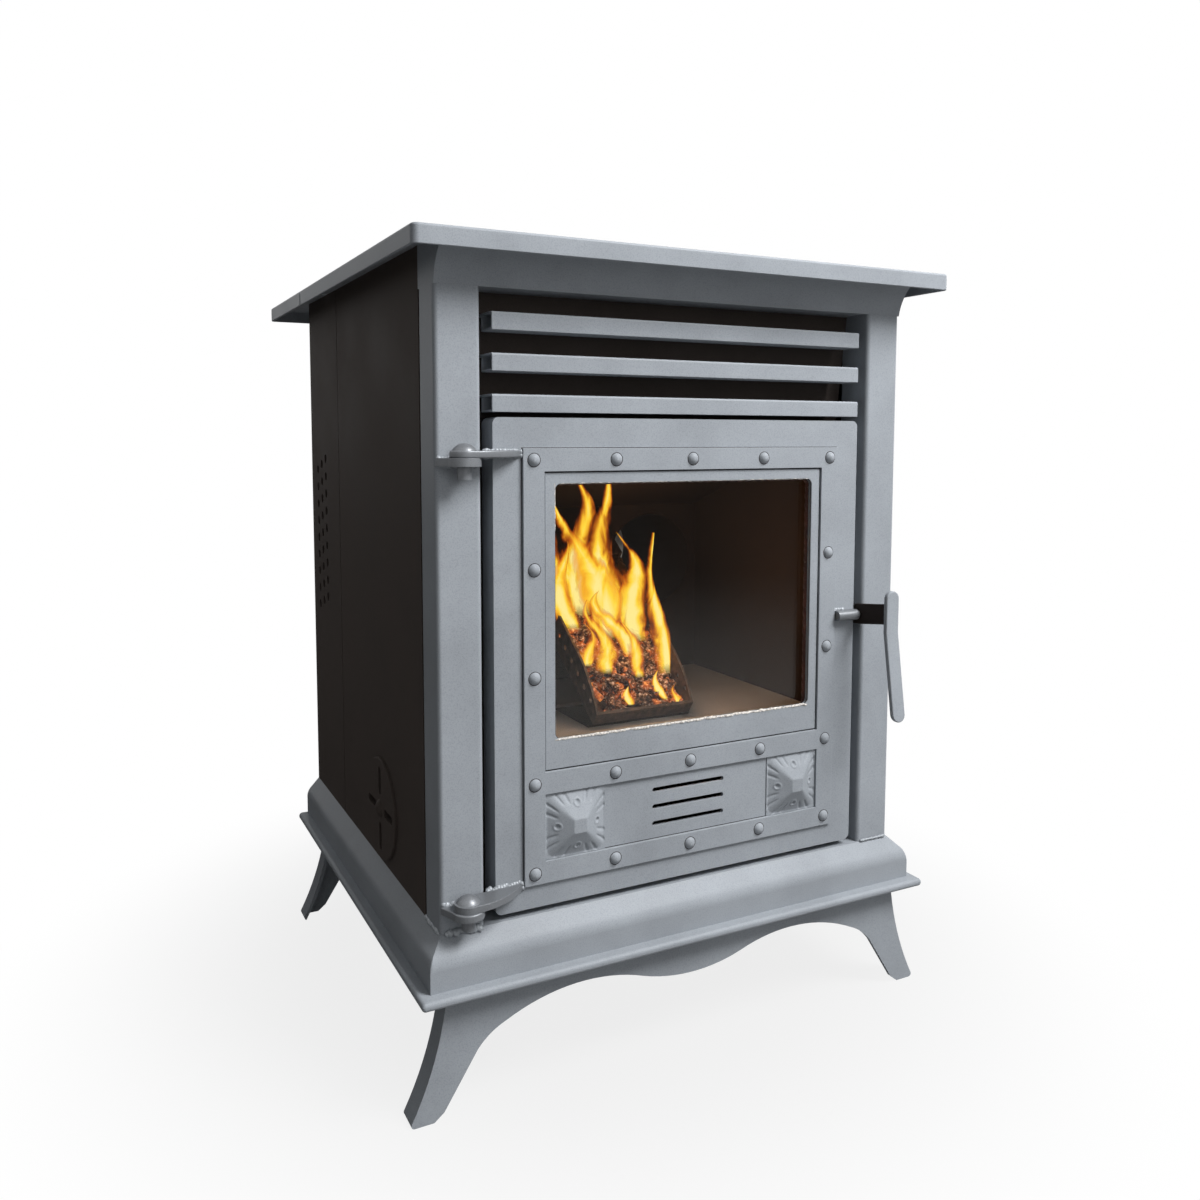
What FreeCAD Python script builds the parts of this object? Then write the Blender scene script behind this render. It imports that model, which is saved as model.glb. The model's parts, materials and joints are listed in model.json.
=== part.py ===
"""Gravity-fed pellet stove of painted sheet steel, millimetres, +Z up, front towards -Y.

The origin is on the floor under the middle of the stove's outer box.
"""
import FreeCAD, Part
import math
import os

from FreeCAD import Vector

# Stock: sheets, bars and tubes
jacket_sheet = 3.0
fire_plate = 4.0
post_size = 40.0
post_wall = 3.0
post_corner_radius = 4.0
flat_bar_width = 20.0
flat_bar_thickness = 3.0
lug_thickness = 6.0
fixed_lug_thickness = 7.0

# Clearances shared by pieces that meet
running_clearance = 0.05
parallel_share = 0.999
panel_gap = 1.5
soft_clearance = 0.3
cut_overrun = 1.0

# Body
body_width = 493.0
body_depth = 462.0
body_height = 578.0
body_half = body_width / 2
opening_half = body_half - post_size

# Legs
leg_height = 108.0
leg_plate = 4.0
leg_flange_depth = 22.0
leg_front_inset = 18.0
leg_rear_inset = 26.0
leg_top_half = 245.0
leg_waist_half = 256.0
leg_waist_z = 55.0
foot_half = 279.0
foot_width = 22.0
foot_corner_reach = 9.0
foot_corner_z = 7.0
foot_tip_radius = 3.0
knee_half = 206.0
knee_z = 68.0
knee_round = 14.0
knee_lift = 5.0
knee_bulge_share = 0.5
arch_apex_half = 116.0
arch_apex_z = 90.5
drop_half = 54.0
drop_z = 80.0
drop_low_z = 71.5

# Base plate and plinth
base_thickness = 8.0
base_side_reach = 25.0
base_front_reach = 28.0
base_edge_radius = 3.6
base_corner_radius = 3.0
plinth_height = 41.0
plinth_slope_height = 15.5
plinth_side_reach = 14.5
plinth_front_reach = 16.0
plinth_bend_radius = 16.0
plinth_bend_inset_share = 0.5

# Top plate and hopper lid
top_sheet = 3.0
top_lip = 16.0
top_side_reach = 29.0
top_front_reach = 38.0
top_rear_reach = 88.0
top_edge_radius = 2.5
top_corner_radius = 6.0
lid_front_depth = 372.0
lid_gap = 4.0

# Lintel and louvre
lintel_height = 36.0
cove_reach = 28.0
cove_bow_reach_share = 0.3
cove_bow_height_share = 0.55
slat_flange = 15.0
slat_pitch = 34.0
slat_sheet = 2.0
slat_count = 3
slat_setback = 1.0
slat_depth = 25.0
louvre_back_depth = 46.0
louvre_back_lean = 14.0
louvre_slot_rise = 1.5
louvre_slot_height = 10.0
louvre_slot_half = 170.0

# Door
door_width = 392.0
door_rise = 5.7
door_setback = 1.0
door_depth = 25.0
door_sheet = 4.0
door_corner_radius = 6.0
slat_to_door_gap = 4.3
outer_column_count = 2
column_pitch = 79.8
upper_row_count = 3
top_rivet_drop = 36.0
lower_row_pitch = 80.0
low_rivet_rise = 31.4
rivet_head_radius = 5.6
rivet_head_height = 3.6
bezel_border = 9.5
bezel_low_border = 26.0
bezel_seat_inset = 1.0
bezel_proud = 1.0
window_corner_radius = 6.0
glass_thickness = 4.0
glass_lap = 8.0
glass_rope_thickness = 5.0
clip_width = 16.0
clip_length = 24.0
clip_thickness = 2.0
clip_bite = 4.0
clip_screw_radius = 5.0
clip_screw_height = 2.5
air_slot_length = 79.0
air_slot_height = 4.6
air_slot_pitch = 16.0
rope_channel_inset = 9.0
rope_channel_width = 16.0
rope_channel_sheet = 2.0
rope_groove_depth = 8.0
rope_edge_radius = 2.5
rope_inner_radius = 4.5
rope_seal_gap = 2.5

# Rosettes
rosette_size = 60.0
rosette_edge = 1.6
rosette_height = 12.0
rosette_top = 15.0
rosette_flute_radius = 1.9
rosette_flute_reach_share = 0.48
rosette_flute_tip_share = 0.25
rosette_flute_spread_share = 0.36
rosette_flute_fan_degrees = 24.0
rosette_flute_count = 4
rosette_dimple_radius = 2.8
rosette_dimple_depth = 1.6
rosette_dimple_reach_share = 0.42

# Hinges
pin_radius = 6.0
pin_reach = 14.0
pin_head_radius = 10.0
pin_head_height = 6.2
pin_tail = 10.5
lug_eye_radius = 12.0
fixed_eye_radius = 14.0
lug_clear = 2.0
lug_weld_length = 26.0
lug_tip_reach = 3.0
lug_waist_reach = 20.5
lug_eye_inset = 0.5
lower_lug_rise = 25.0
upper_lug_drop = 33.7

# Handle and latch
handle_rise_share = 0.547
bush_radius = 5.2
bush_length = 26.0
shaft_radius = 3.4
latch_thickness = 4.5
latch_gap = 2.0
latch_half_height = 10.0
latch_neck_share = 0.5
latch_front_rise = 5.0
latch_front_reach = 36.0
hook_drop = 10.0
hook_reach = 30.0
hook_throat = 24.0
hook_nose = 12.0
keeper_radius = 4.0
keeper_reach = 18.5
keeper_rise = 6.5
keeper_length = 9.0
grip_width = 15.5
grip_thickness = 5.0
grip_above = 28.0
grip_straight = 41.0
grip_length = 128.0
grip_lean = 13.0

# Side panels, air regulator and vents
seam_depth = 328.0
regulator_depth = 172.0
regulator_rise = 55.0
regulator_radius = 50.0
regulator_thickness = 3.0
regulator_edge_chamfer = 0.75
regulator_slot_width = 8.0
regulator_slot_inner = 14.0
regulator_slot_outer = 42.0
regulator_slot_count = 4
regulator_rivet_radius = 4.0
regulator_head_radius = 9.0
regulator_head_height = 4.5
vent_radius = 5.0
vent_pitch = 20.0
vent_column_pitch = 20.0
vent_column_count = 3
vent_row_count = 9
vent_first_depth = 431.0
vent_first_rise = 222.0
vent_stagger_share = 1 / 3
jacket_return = 24.0

# Firebox
front_plate_land = 36.0
firebox_half = 198.0
firebox_rear_depth = 300.0
floor_rise_share = 0.307
floor_flange = 14.0
grate_half = 60.0
grate_front_depth = 94.0
grate_rear_depth = 190.0
baffle_clear = 4.4
baffle_depth = 120.0
baffle_lean = 45.0
flue_offset = 128.0
flue_rise_share = 0.628
flue_radius = 60.0
flue_wall = 2.5
flue_reach = 58.0
flue_flange_width = 12.0

# Hopper, chute and burner basket
hopper_half = 150.0
hopper_front_depth = 322.0
hopper_rear_reach = 70.0
hopper_straight = 120.0
hopper_mouth_clear = 6.0
chute_half = 52.0
chute_sheet = 3.0
chute_throat = 62.0
chute_head_clear = 2.4
chute_rise_share = 0.4967
chute_wall_height = 38.0
basket_half = 56.0
basket_sheet = 2.5
basket_front_depth = 90.0
basket_foot_rise = 5.0
basket_length = 205.0
basket_wall_height = 30.0
basket_front_lip = 12.0
basket_rim_run = 80.0
basket_bow_run_share = 0.36
basket_bow_rise_share = 0.7
basket_hole_radius = 3.0
basket_hole_pitch = 18.0
basket_hole_rise = 14.0
basket_hole_count = 6
basket_slot_width = 4.0
basket_slot_pitch = 14.0
basket_slot_count = 6
basket_slot_half = 40.0

# Ash pan
ash_half = 140.0
ash_front_depth = 46.0
ash_rear_depth = 280.0
ash_height = 56.0
ash_sheet = 1.5
ash_lip = 12.0

# Lid hinge
lid_knuckle_radius = 4.0
lid_knuckle_bore = 2.0
lid_knuckle_length = 20.0
lid_leaf_thickness = 1.5
lid_leaf_height = 22.0
lid_hinge_half = 110.0
lid_hinge_drop = 6.0

# Heights above the floor
base_z = leg_height
plinth_z = base_z + base_thickness
body_z = plinth_z + plinth_height
top_z = body_z + body_height
lintel_z = top_z - lintel_height
slat_z = lintel_z - slat_count * slat_pitch
door_z = body_z + door_rise
door_top_z = slat_z - slat_to_door_gap
door_height = door_top_z - door_z
firebox_height = door_height
floor_z = body_z + firebox_height * floor_rise_share
flue_z = body_z + firebox_height * flue_rise_share
handle_z = door_z + door_height * handle_rise_share
lug_z = body_z + lower_lug_rise
upper_lug_z = door_top_z - upper_lug_drop
rivet_low_z = door_z + low_rivet_rise
rivet_mid_z = rivet_low_z + lower_row_pitch
rivet_top_z = door_top_z - top_rivet_drop
upper_row_pitch = (rivet_top_z - rivet_mid_z) / upper_row_count
window_low_z = rivet_mid_z + flat_bar_width / 2
window_high_z = rivet_top_z - flat_bar_width / 2
panel_low_z = rivet_low_z + flat_bar_width / 2
panel_high_z = rivet_mid_z - flat_bar_width / 2

# Depths: the outer box is centred on the origin, from the grip's foot to the lid's rear edge
bush_centre_reach = bush_radius - door_setback
grip_rear_reach = bush_centre_reach + latch_front_reach
front_reach = grip_rear_reach + grip_thickness + grip_lean
rear_y = (front_reach + body_depth + top_rear_reach) / 2 - top_rear_reach
front_y = rear_y - body_depth
door_y = front_y + door_setback
door_rear_y = door_y + door_depth
plate_y = door_rear_y + rope_seal_gap
fire_front_y = plate_y + fire_plate
fire_rear_y = front_y + firebox_rear_depth
pin_x = -(body_half - post_size / 2)
pin_y = front_y - pin_reach
handle_y = front_y - bush_centre_reach
door_half = door_width / 2
flue_tube_radius = flue_radius - panel_gap
flue_hole_radius = flue_tube_radius + soft_clearance
frame_half = outer_column_count * column_pitch + flat_bar_width / 2
window_half = outer_column_count * column_pitch - flat_bar_width / 2

# Slope of the basket and chute
chute_run = hopper_front_depth + chute_throat - basket_front_depth
basket_slope = math.atan2(firebox_height * chute_rise_share, chute_run)


def box(x0, x1, y0, y1, z0, z1):
    """Block between two corners."""
    return Part.makeBox(x1 - x0, y1 - y0, z1 - z0, Vector(x0, y0, z0))


def rod(centre, axis, radius, length):
    """Round bar from centre along axis."""
    return Part.makeCylinder(radius, length, centre, axis)


def outline(edges):
    """Face bounded by edges given in order."""
    return Part.Face(Part.Wire(edges))


def line(a, b):
    """Straight edge."""
    return Part.LineSegment(a, b).toShape()


def arc(a, b, c):
    """Round edge through three points."""
    return Part.Arc(a, b, c).toShape()


def polygon(points):
    """Face through corner points."""
    return Part.Face(Part.makePolygon(points + points[:1]))


def across(points, x0, x1):
    """Prism along X from a list of (y, z) corners."""
    corners = [Vector(x0, y, z) for y, z in points]
    return polygon(corners).extrude(Vector(x1 - x0, 0, 0))


def rounded_panel(half, z0, z1, radius, y0, y1):
    """Upright plate with rounded corners, centred on X."""
    plate = box(-half, half, y0, y1, z0, z1)
    return plate.makeFillet(radius, edges_along(plate, Y))


def frustum(low, high):
    """Solid between two level rings of corners, with flat sides."""
    faces = [polygon(low), polygon(high)]
    for i in range(len(low)):
        j = (i + 1) % len(low)
        faces.append(polygon([low[i], low[j], high[j], high[i]]))
    shell = Part.Shell(faces)
    shell.sewShape()
    solid = Part.Solid(shell)
    if solid.Volume < 0:
        solid.reverse()
    return solid


def dome(centre, axis, radius, height):
    """Low spherical head standing on centre."""
    sphere_radius = (radius ** 2 + height ** 2) / (2 * height)
    middle = centre + axis * (height - sphere_radius)
    latitude = math.degrees(math.asin((sphere_radius - height) / sphere_radius))
    return Part.makeSphere(sphere_radius, middle, axis, latitude, 90, 360)


def edges_along(shape, direction):
    """Straight edges parallel to a direction."""
    found = []
    for edge in shape.Edges:
        if edge.Curve.TypeId != "Part::GeomLine":
            continue
        if abs(edge.tangentAt(edge.FirstParameter).dot(direction)) > parallel_share:
            found.append(edge)
    return found


def stadium(centre, along, across_axis, length, width, normal, depth):
    """Slot cutter with round ends, starting on the plane through centre."""
    side = across_axis * (width / 2)
    run = along * ((length - width) / 2)
    tip = along * (length / 2)
    corners = [centre - run - side, centre + run - side, centre + run + side, centre - run + side]
    edges = [
        line(corners[0], corners[1]),
        arc(corners[1], centre + tip, corners[2]),
        line(corners[2], corners[3]),
        arc(corners[3], centre - tip, corners[0]),
    ]
    return outline(edges).extrude(normal * depth)


X = Vector(1, 0, 0)
Y = Vector(0, 1, 0)
Z = Vector(0, 0, 1)


def leg_outline(y):
    """Apron with a double arch between two splayed legs."""
    def at(x, z):
        return Vector(x, y, z)

    foot_inner = foot_half - foot_width
    knee_slope = (knee_half - foot_inner) / (knee_z - foot_corner_z)
    knee_low = at(knee_half - knee_slope * knee_round, knee_z - knee_round)
    knee_high = at(knee_half - knee_round, knee_z + knee_lift)
    chord_middle = (knee_low + knee_high) / 2
    knee_bulge = chord_middle + (at(knee_half, knee_z) - chord_middle) * knee_bulge_share

    def side(sign):
        def m(v):
            return Vector(sign * v.x, v.y, v.z)
        return [
            arc(m(at(leg_top_half, base_z)), m(at(leg_waist_half, leg_waist_z)), m(at(foot_half, 0))),
            line(m(at(foot_half, 0)), m(at(foot_inner, 0))),
            line(m(at(foot_inner, 0)), m(at(foot_inner - foot_corner_reach, foot_corner_z))),
            line(m(at(foot_inner - foot_corner_reach, foot_corner_z)), m(knee_low)),
            arc(m(knee_low), m(knee_bulge), m(knee_high)),
            arc(m(knee_high), m(at(arch_apex_half, arch_apex_z)), m(at(drop_half, drop_z))),
        ]

    centre = arc(at(-drop_half, drop_z), at(0, drop_low_z), at(drop_half, drop_z))
    top = line(at(-leg_top_half, base_z), at(leg_top_half, base_z))
    return outline(Part.__sortEdges__(side(-1) + [centre] + side(1) + [top]))


def leg_flange(sign, y, depth):
    """Strip along a leg's curved outer edge, turned back from the apron."""
    def at(x, z):
        return Vector(sign * x, y, z)

    top_inner = leg_top_half - leg_plate
    waist_inner = leg_waist_half - leg_plate
    foot_inner = foot_half - leg_plate
    edges = [
        arc(at(leg_top_half, base_z), at(leg_waist_half, leg_waist_z), at(foot_half, 0)),
        line(at(foot_half, 0), at(foot_inner, 0)),
        arc(at(foot_inner, 0), at(waist_inner, leg_waist_z), at(top_inner, base_z)),
        line(at(top_inner, base_z), at(leg_top_half, base_z)),
    ]
    return outline(edges).extrude(Y * depth)


def legs(y, turned_back):
    """Apron plate with its flanges turned back by a signed depth."""
    plate = leg_outline(y).extrude(Y * math.copysign(leg_plate, turned_back))
    for sign in (-1, 1):
        plate = plate.fuse(leg_flange(sign, y, turned_back))
    plate = plate.removeSplitter()
    tips = [e for e in edges_along(plate, Y) if foot_half - abs(e.CenterOfMass.x) < running_clearance]
    return plate.makeFillet(foot_tip_radius, tips)


def base_plate():
    """Plate under the plinth with a rounded edge on three sides."""
    half = body_half + base_side_reach
    plate = box(-half, half, front_y - base_front_reach, rear_y, base_z, plinth_z)
    corners = [e for e in edges_along(plate, Z) if e.CenterOfMass.y < 0]
    plate = plate.makeFillet(base_corner_radius, corners)
    rim = []
    for edge in plate.Edges:
        middle = edge.CenterOfMass
        flat = abs(edge.BoundBox.ZLength) < running_clearance
        if flat and middle.y < rear_y - cut_overrun:
            rim.append(edge)
    return plate.makeFillet(base_edge_radius, rim)


def plinth_form(inset):
    """Solid plinth: upright face, rounded bend, slope up to the body; inset gives its inside."""
    low_half = body_half + plinth_side_reach - inset
    high_half = body_half - inset
    low_front = front_y - plinth_front_reach + inset
    high_front = front_y + inset
    bend_z = body_z - plinth_slope_height - inset * plinth_bend_inset_share
    end_y = rear_y + (cut_overrun if inset else 0)
    start_z = plinth_z - (cut_overrun if inset else 0)
    top = body_z + (cut_overrun if inset else 0)

    def ring(half, y0, z):
        return [Vector(-half, y0, z), Vector(half, y0, z), Vector(half, end_y, z), Vector(-half, end_y, z)]

    upright = box(-low_half, low_half, low_front, end_y, start_z, bend_z)
    slope = frustum(ring(low_half, low_front, bend_z), ring(high_half, high_front, body_z))
    form = upright.fuse(slope).removeSplitter()
    if inset:
        return form.fuse(box(-high_half, high_half, high_front, end_y, body_z, top))
    bend = []
    for edge in form.Edges:
        span = edge.BoundBox
        level = span.ZLength < running_clearance and abs(span.ZMin - bend_z) < running_clearance
        if level and span.Center.y < rear_y - cut_overrun:
            bend.append(edge)
    return form.makeFillet(plinth_bend_radius, bend)


def plinth():
    """Moulded skirt of sheet on three sides of the foot."""
    return plinth_form(0).cut(plinth_form(jacket_sheet)).removeSplitter()


def post(sign):
    """Square tube with rounded corners from the plinth to the lintel."""
    middle = sign * (body_half - post_size / 2)
    half = post_size / 2

    def bar(inset, radius, z0, z1):
        solid = box(middle - half + inset, middle + half - inset, front_y + inset,
                    front_y + post_size - inset, z0, z1)
        return solid.makeFillet(radius, edges_along(solid, Z))

    inner_radius = post_corner_radius - post_wall
    outer = bar(0, post_corner_radius, body_z, lintel_z)
    return outer.cut(bar(post_wall, inner_radius, body_z - cut_overrun, lintel_z + cut_overrun))


def lintel():
    """Coved sheet over the posts, flaring forward under the top plate, with a flange on the posts."""
    top = top_z
    low = lintel_z
    bow_y = front_y - cove_reach * cove_bow_reach_share
    bow_z = low + lintel_height * cove_bow_height_share
    x0 = -body_half

    def at(y, z):
        return Vector(x0, y, z)

    back = jacket_sheet
    flange_y = front_y + post_size
    foot = at(front_y, low)
    brow = at(front_y - cove_reach, top)
    cove = arc(foot, at(bow_y, bow_z), brow)
    edges = [
        line(at(flange_y, low), foot),
        cove,
        line(brow, at(front_y - cove_reach + back, top)),
        arc(at(front_y - cove_reach + back, top), at(bow_y + back, bow_z), at(front_y + back, low + back)),
        line(at(front_y + back, low + back), at(flange_y, low + back)),
        line(at(flange_y, low + back), at(flange_y, low)),
    ]
    sheet = outline(edges).extrude(X * body_width)
    end = outline([line(at(flange_y, low), foot), cove, line(brow, at(flange_y, top)),
                   line(at(flange_y, top), at(flange_y, low))]).extrude(X * back)
    far_end = end.translated(X * (body_width - back))
    return sheet.fuse(end).fuse(far_end).removeSplitter()


def slat(index):
    """Louvre bar: flat tube with a rounded front top edge and a tongue back to the panel behind."""
    z0 = slat_z + index * slat_pitch
    z1 = z0 + slat_flange
    y0 = front_y + slat_setback
    y1 = y0 + slat_depth
    tube = box(-door_half, door_half, y0, y1, z0, z1)
    corner = Vector(0, y0, z1)
    bend = [e for e in edges_along(tube, X) if e.CenterOfMass.distanceToPoint(corner) < running_clearance]
    tube = tube.makeFillet(slat_sheet, bend)
    end = door_half + cut_overrun
    tube = tube.cut(box(-end, end, y0 + slat_sheet, y1 - slat_sheet, z0 + slat_sheet, z1 - slat_sheet))
    tongue_z = z1 - slat_sheet
    tongue = across([(y1, tongue_z), (louvre_face_y(tongue_z), tongue_z), (louvre_face_y(z1), z1), (y1, z1)],
                    -door_half, door_half)
    return tube.fuse(tongue).removeSplitter()


def louvre_face_y(z):
    """Depth of the leaning panel's front at a height."""
    share = (z - door_top_z) / (lintel_z - door_top_z)
    return front_y + louvre_back_depth - louvre_back_lean * share


def louvre_back():
    """Leaning panel behind the slats with a warm-air slot behind each slat."""
    low, high = door_top_z, lintel_z
    back = fire_plate
    panel = across([(louvre_face_y(low), low), (louvre_face_y(high), high),
                    (louvre_face_y(high) + back, high), (louvre_face_y(low) + back, low)],
                   -opening_half, opening_half)
    for index in range(slat_count):
        z0 = slat_z + index * slat_pitch + louvre_slot_rise
        panel = panel.cut(box(-louvre_slot_half, louvre_slot_half, front_y, front_y + body_depth,
                              z0, z0 + louvre_slot_height))
    return panel


def regulator_slots(x0, depth):
    """Cross of air slots, as a cutter along X."""
    centre = regulator_centre(x0)
    length = regulator_slot_outer - regulator_slot_inner
    reach = (regulator_slot_outer + regulator_slot_inner) / 2
    cutters = []
    for index in range(regulator_slot_count):
        turn = 2 * math.pi * index / regulator_slot_count
        along = Y * math.cos(turn) + Z * math.sin(turn)
        side = Y * -math.sin(turn) + Z * math.cos(turn)
        cutters.append(stadium(centre + along * reach, along, side, length, regulator_slot_width, X, depth))
    return Part.makeCompound(cutters)


def regulator_centre(x):
    """Pivot point of the air regulator at a given X."""
    return Vector(x, front_y + regulator_depth, body_z + regulator_rise)


def side_panel(sign):
    """Jacket sheet between post and seam; the left one has the air slots."""
    x0, x1 = sorted((sign * body_half, sign * (body_half - jacket_sheet)))
    panel = box(x0, x1, front_y + post_size, front_y + seam_depth - panel_gap, body_z, top_z)
    if sign < 0:
        depth = jacket_sheet + 2 * cut_overrun
        hole_radius = regulator_rivet_radius + running_clearance
        panel = panel.cut(regulator_slots(x0 - cut_overrun, depth))
        panel = panel.cut(rod(regulator_centre(x0 - cut_overrun), X, hole_radius, depth))
    return panel


def rear_jacket(sign):
    """Rear side sheet with staggered vent holes and a return on the back."""
    x0, x1 = sorted((sign * body_half, sign * (body_half - jacket_sheet)))
    side = box(x0, x1, front_y + seam_depth, rear_y, body_z, top_z)
    r0, r1 = sorted((sign * body_half, sign * (body_half - jacket_return)))
    side = side.fuse(box(r0, r1, rear_y - jacket_sheet, rear_y, body_z, top_z)).removeSplitter()
    holes = []
    for column in range(vent_column_count):
        y = front_y + vent_first_depth - column * vent_column_pitch
        for row in range(vent_row_count):
            z = body_z + vent_first_rise + (row + column * vent_stagger_share) * vent_pitch
            start = Vector(x0 - cut_overrun, y, z)
            holes.append(rod(start, X, vent_radius, jacket_sheet + 2 * cut_overrun))
    return side.cut(Part.makeCompound(holes))


def back_panel():
    """Rear sheet between the jackets with cut-outs for flue and hopper."""
    half = body_half - jacket_return
    panel = box(-half, half, rear_y - jacket_sheet, rear_y, body_z, top_z)
    hole = rod(flue_centre(front_y), Y, flue_hole_radius, 2 * body_depth)
    mouth_half = hopper_half + soft_clearance
    mouth = box(-mouth_half, mouth_half, front_y, rear_y + cut_overrun,
                hopper_wall_z(rear_y - hopper_mouth_clear), top_z + cut_overrun)
    return panel.cut(hole).cut(mouth)


def flue_centre(y):
    """Point on the flue's axis."""
    return Vector(flue_offset, y, flue_z)


def flue_pipe(start_y, end_y, radius):
    """Round pipe on the flue's axis."""
    length = end_y - start_y
    bore = rod(flue_centre(start_y - cut_overrun), Y, radius - flue_wall, length + 2 * cut_overrun)
    return rod(flue_centre(start_y), Y, radius, length).cut(bore)


def flue_tube():
    """Smoke pipe from the firebox through the back panel."""
    return flue_pipe(fire_rear_y - fire_plate, rear_y + jacket_sheet, flue_tube_radius)


def flue_spigot():
    """Socket end behind the cover ring, for the chimney pipe."""
    return flue_pipe(rear_y + jacket_sheet, rear_y + flue_reach, flue_radius - soft_clearance)


def flue_ring():
    """Cover ring round the smoke pipe on the back panel."""
    ring = rod(flue_centre(rear_y), Y, flue_radius + flue_flange_width, jacket_sheet)
    return ring.cut(rod(flue_centre(front_y), Y, flue_hole_radius, 2 * body_depth))


def front_plate():
    """Firebox face that the door's rope closes on."""
    plate = box(-opening_half, opening_half, plate_y, fire_front_y, body_z, door_top_z)
    half = opening_half - front_plate_land
    aperture = rounded_panel(half, body_z + front_plate_land, door_top_z - front_plate_land,
                             window_corner_radius, plate_y - cut_overrun, fire_front_y + cut_overrun)
    return plate.cut(aperture)


def firebox_shell():
    """Sides, back and roof of the firebox in one folded plate, with throat and flue holes."""
    top = body_z + firebox_height
    shell = box(-firebox_half, firebox_half, fire_front_y, fire_rear_y, body_z, top)
    inner = firebox_half - fire_plate
    shell = shell.cut(box(-inner, inner, fire_front_y - cut_overrun, fire_rear_y - fire_plate,
                          body_z - cut_overrun, top - fire_plate))
    shell = shell.cut(rod(flue_centre(front_y), Y, flue_hole_radius, body_depth))
    throat_half = chute_half + chute_sheet + soft_clearance
    low_z = chute_floor_z(fire_rear_y - fire_plate) - chute_rise(chute_sheet) - soft_clearance
    high_z = chute_floor_z(fire_rear_y) + chute_rise(chute_wall_height) + soft_clearance
    return shell.cut(box(-throat_half, throat_half, fire_rear_y - fire_plate - cut_overrun,
                         fire_rear_y + cut_overrun, low_z, high_z))


def firebox_floor():
    """Floor with a front lip and an ash hole under the basket."""
    inner = firebox_half - fire_plate
    floor = box(-inner, inner, fire_front_y, fire_rear_y - fire_plate, floor_z - fire_plate, floor_z)
    lip = box(-inner, inner, fire_front_y, fire_front_y + fire_plate, floor_z, floor_z + floor_flange)
    hole = box(-grate_half, grate_half, front_y + grate_front_depth, front_y + grate_rear_depth,
               floor_z - fire_plate - cut_overrun, floor_z + cut_overrun)
    return floor.fuse(lip).removeSplitter().cut(hole)


def baffle():
    """Leaning deflector under the firebox roof."""
    inner = firebox_half - fire_plate
    y1 = fire_rear_y - fire_plate
    z0 = chute_floor_z(y1) + chute_rise(chute_wall_height) + baffle_clear
    y0 = y1 - baffle_depth
    high = z0 + baffle_lean
    corners = [(y0, high), (y1, z0), (y1, z0 + fire_plate), (y0, high + fire_plate)]
    return across(corners, -inner, inner)


def top_plate():
    """Folded pan over the body, lips on the front and sides."""
    y1 = front_y + lid_front_depth - lid_gap / 2
    return pan(front_y - top_front_reach, y1, front=True)


def pan(y0, y1, front):
    """Pan with turned-down lips on both sides and on its front or rear."""
    half = body_half + top_side_reach
    z1 = top_z + top_sheet
    solid = box(-half, half, y0, y1, z1 - top_lip, z1)
    outer_y = y0 if front else y1
    lip_edges = [e for e in edges_along(solid, Z) if abs(e.CenterOfMass.y - outer_y) < running_clearance]
    solid = solid.makeFillet(top_corner_radius, lip_edges)
    rim = []
    for edge in solid.Edges:
        level = edge.BoundBox
        if level.ZMin < z1 - running_clearance:
            continue
        if abs(level.Center.y - (y1 if front else y0)) < running_clearance:
            continue
        rim.append(edge)
    solid = solid.makeFillet(top_edge_radius, rim)
    inside_y0 = y0 + top_sheet if front else y0 - cut_overrun
    inside_y1 = y1 + cut_overrun if front else y1 - top_sheet
    inside = half - top_sheet
    return solid.cut(box(-inside, inside, inside_y0, inside_y1, z1 - top_lip - cut_overrun, top_z))


def lid():
    """Rear part of the top, which lifts to fill the hopper."""
    y0 = front_y + lid_front_depth + lid_gap / 2
    return pan(y0, rear_y + top_rear_reach, front=False)


def hopper_wall_z(y):
    """Height of the hopper's sloping rear wall outside, at a depth."""
    rear = rear_y + hopper_rear_reach
    throat_y = chute_head_y()
    throat_z = hopper_throat_z()
    straight_z = top_z - hopper_straight
    return throat_z + (straight_z - throat_z) * (y - throat_y) / (rear - throat_y)


def chute_head_y():
    """Depth of the hopper's outlet, at its rear side."""
    return front_y + hopper_front_depth + chute_throat


def hopper_throat_z():
    """Height of the hopper's outlet, just over the chute's upper end."""
    return chute_floor_z(chute_head_y()) + chute_head_clear


def hopper_form(inset, lift):
    """Hopper outside or inside: straight box over a tapered throat."""
    y0 = front_y + hopper_front_depth + inset
    y1 = rear_y + hopper_rear_reach - inset
    half = hopper_half - inset
    throat = chute_half + chute_sheet - inset
    z_top = top_z + lift
    z_mid = top_z - hopper_straight
    z_low = hopper_throat_z() - lift

    def ring(ring_half, far, z):
        return [Vector(-ring_half, y0, z), Vector(ring_half, y0, z), Vector(ring_half, far, z),
                Vector(-ring_half, far, z)]

    upper = box(-half, half, y0, y1, z_mid, z_top)
    lower = frustum(ring(throat, chute_head_y() - inset, z_low), ring(half, y1, z_mid))
    return upper.fuse(lower).removeSplitter()


def hopper():
    """Pellet hopper with a rim that the lid rests on."""
    return hopper_form(0, 0).cut(hopper_form(chute_sheet, cut_overrun)).removeSplitter()


def slope_direction():
    """Unit vector up the basket's slope, towards the rear."""
    turn = basket_slope
    return Vector(0, math.cos(turn), math.sin(turn))


def slope_normal():
    """Unit vector square to the slope, upwards."""
    turn = basket_slope
    return Vector(0, -math.sin(turn), math.cos(turn))


def basket_foot():
    """Lowest inner point of the basket's floor, at its front."""
    return Vector(0, front_y + basket_front_depth, floor_z + basket_foot_rise)


def chute_floor_z(y):
    """Height of the chute's sliding floor at a depth."""
    foot = basket_foot()
    return foot.z + (y - foot.y) * math.tan(basket_slope)


def chute_rise(depth):
    """Length that a depth square to the slope, or a level run, takes along the other direction."""
    return depth / math.cos(basket_slope)


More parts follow.
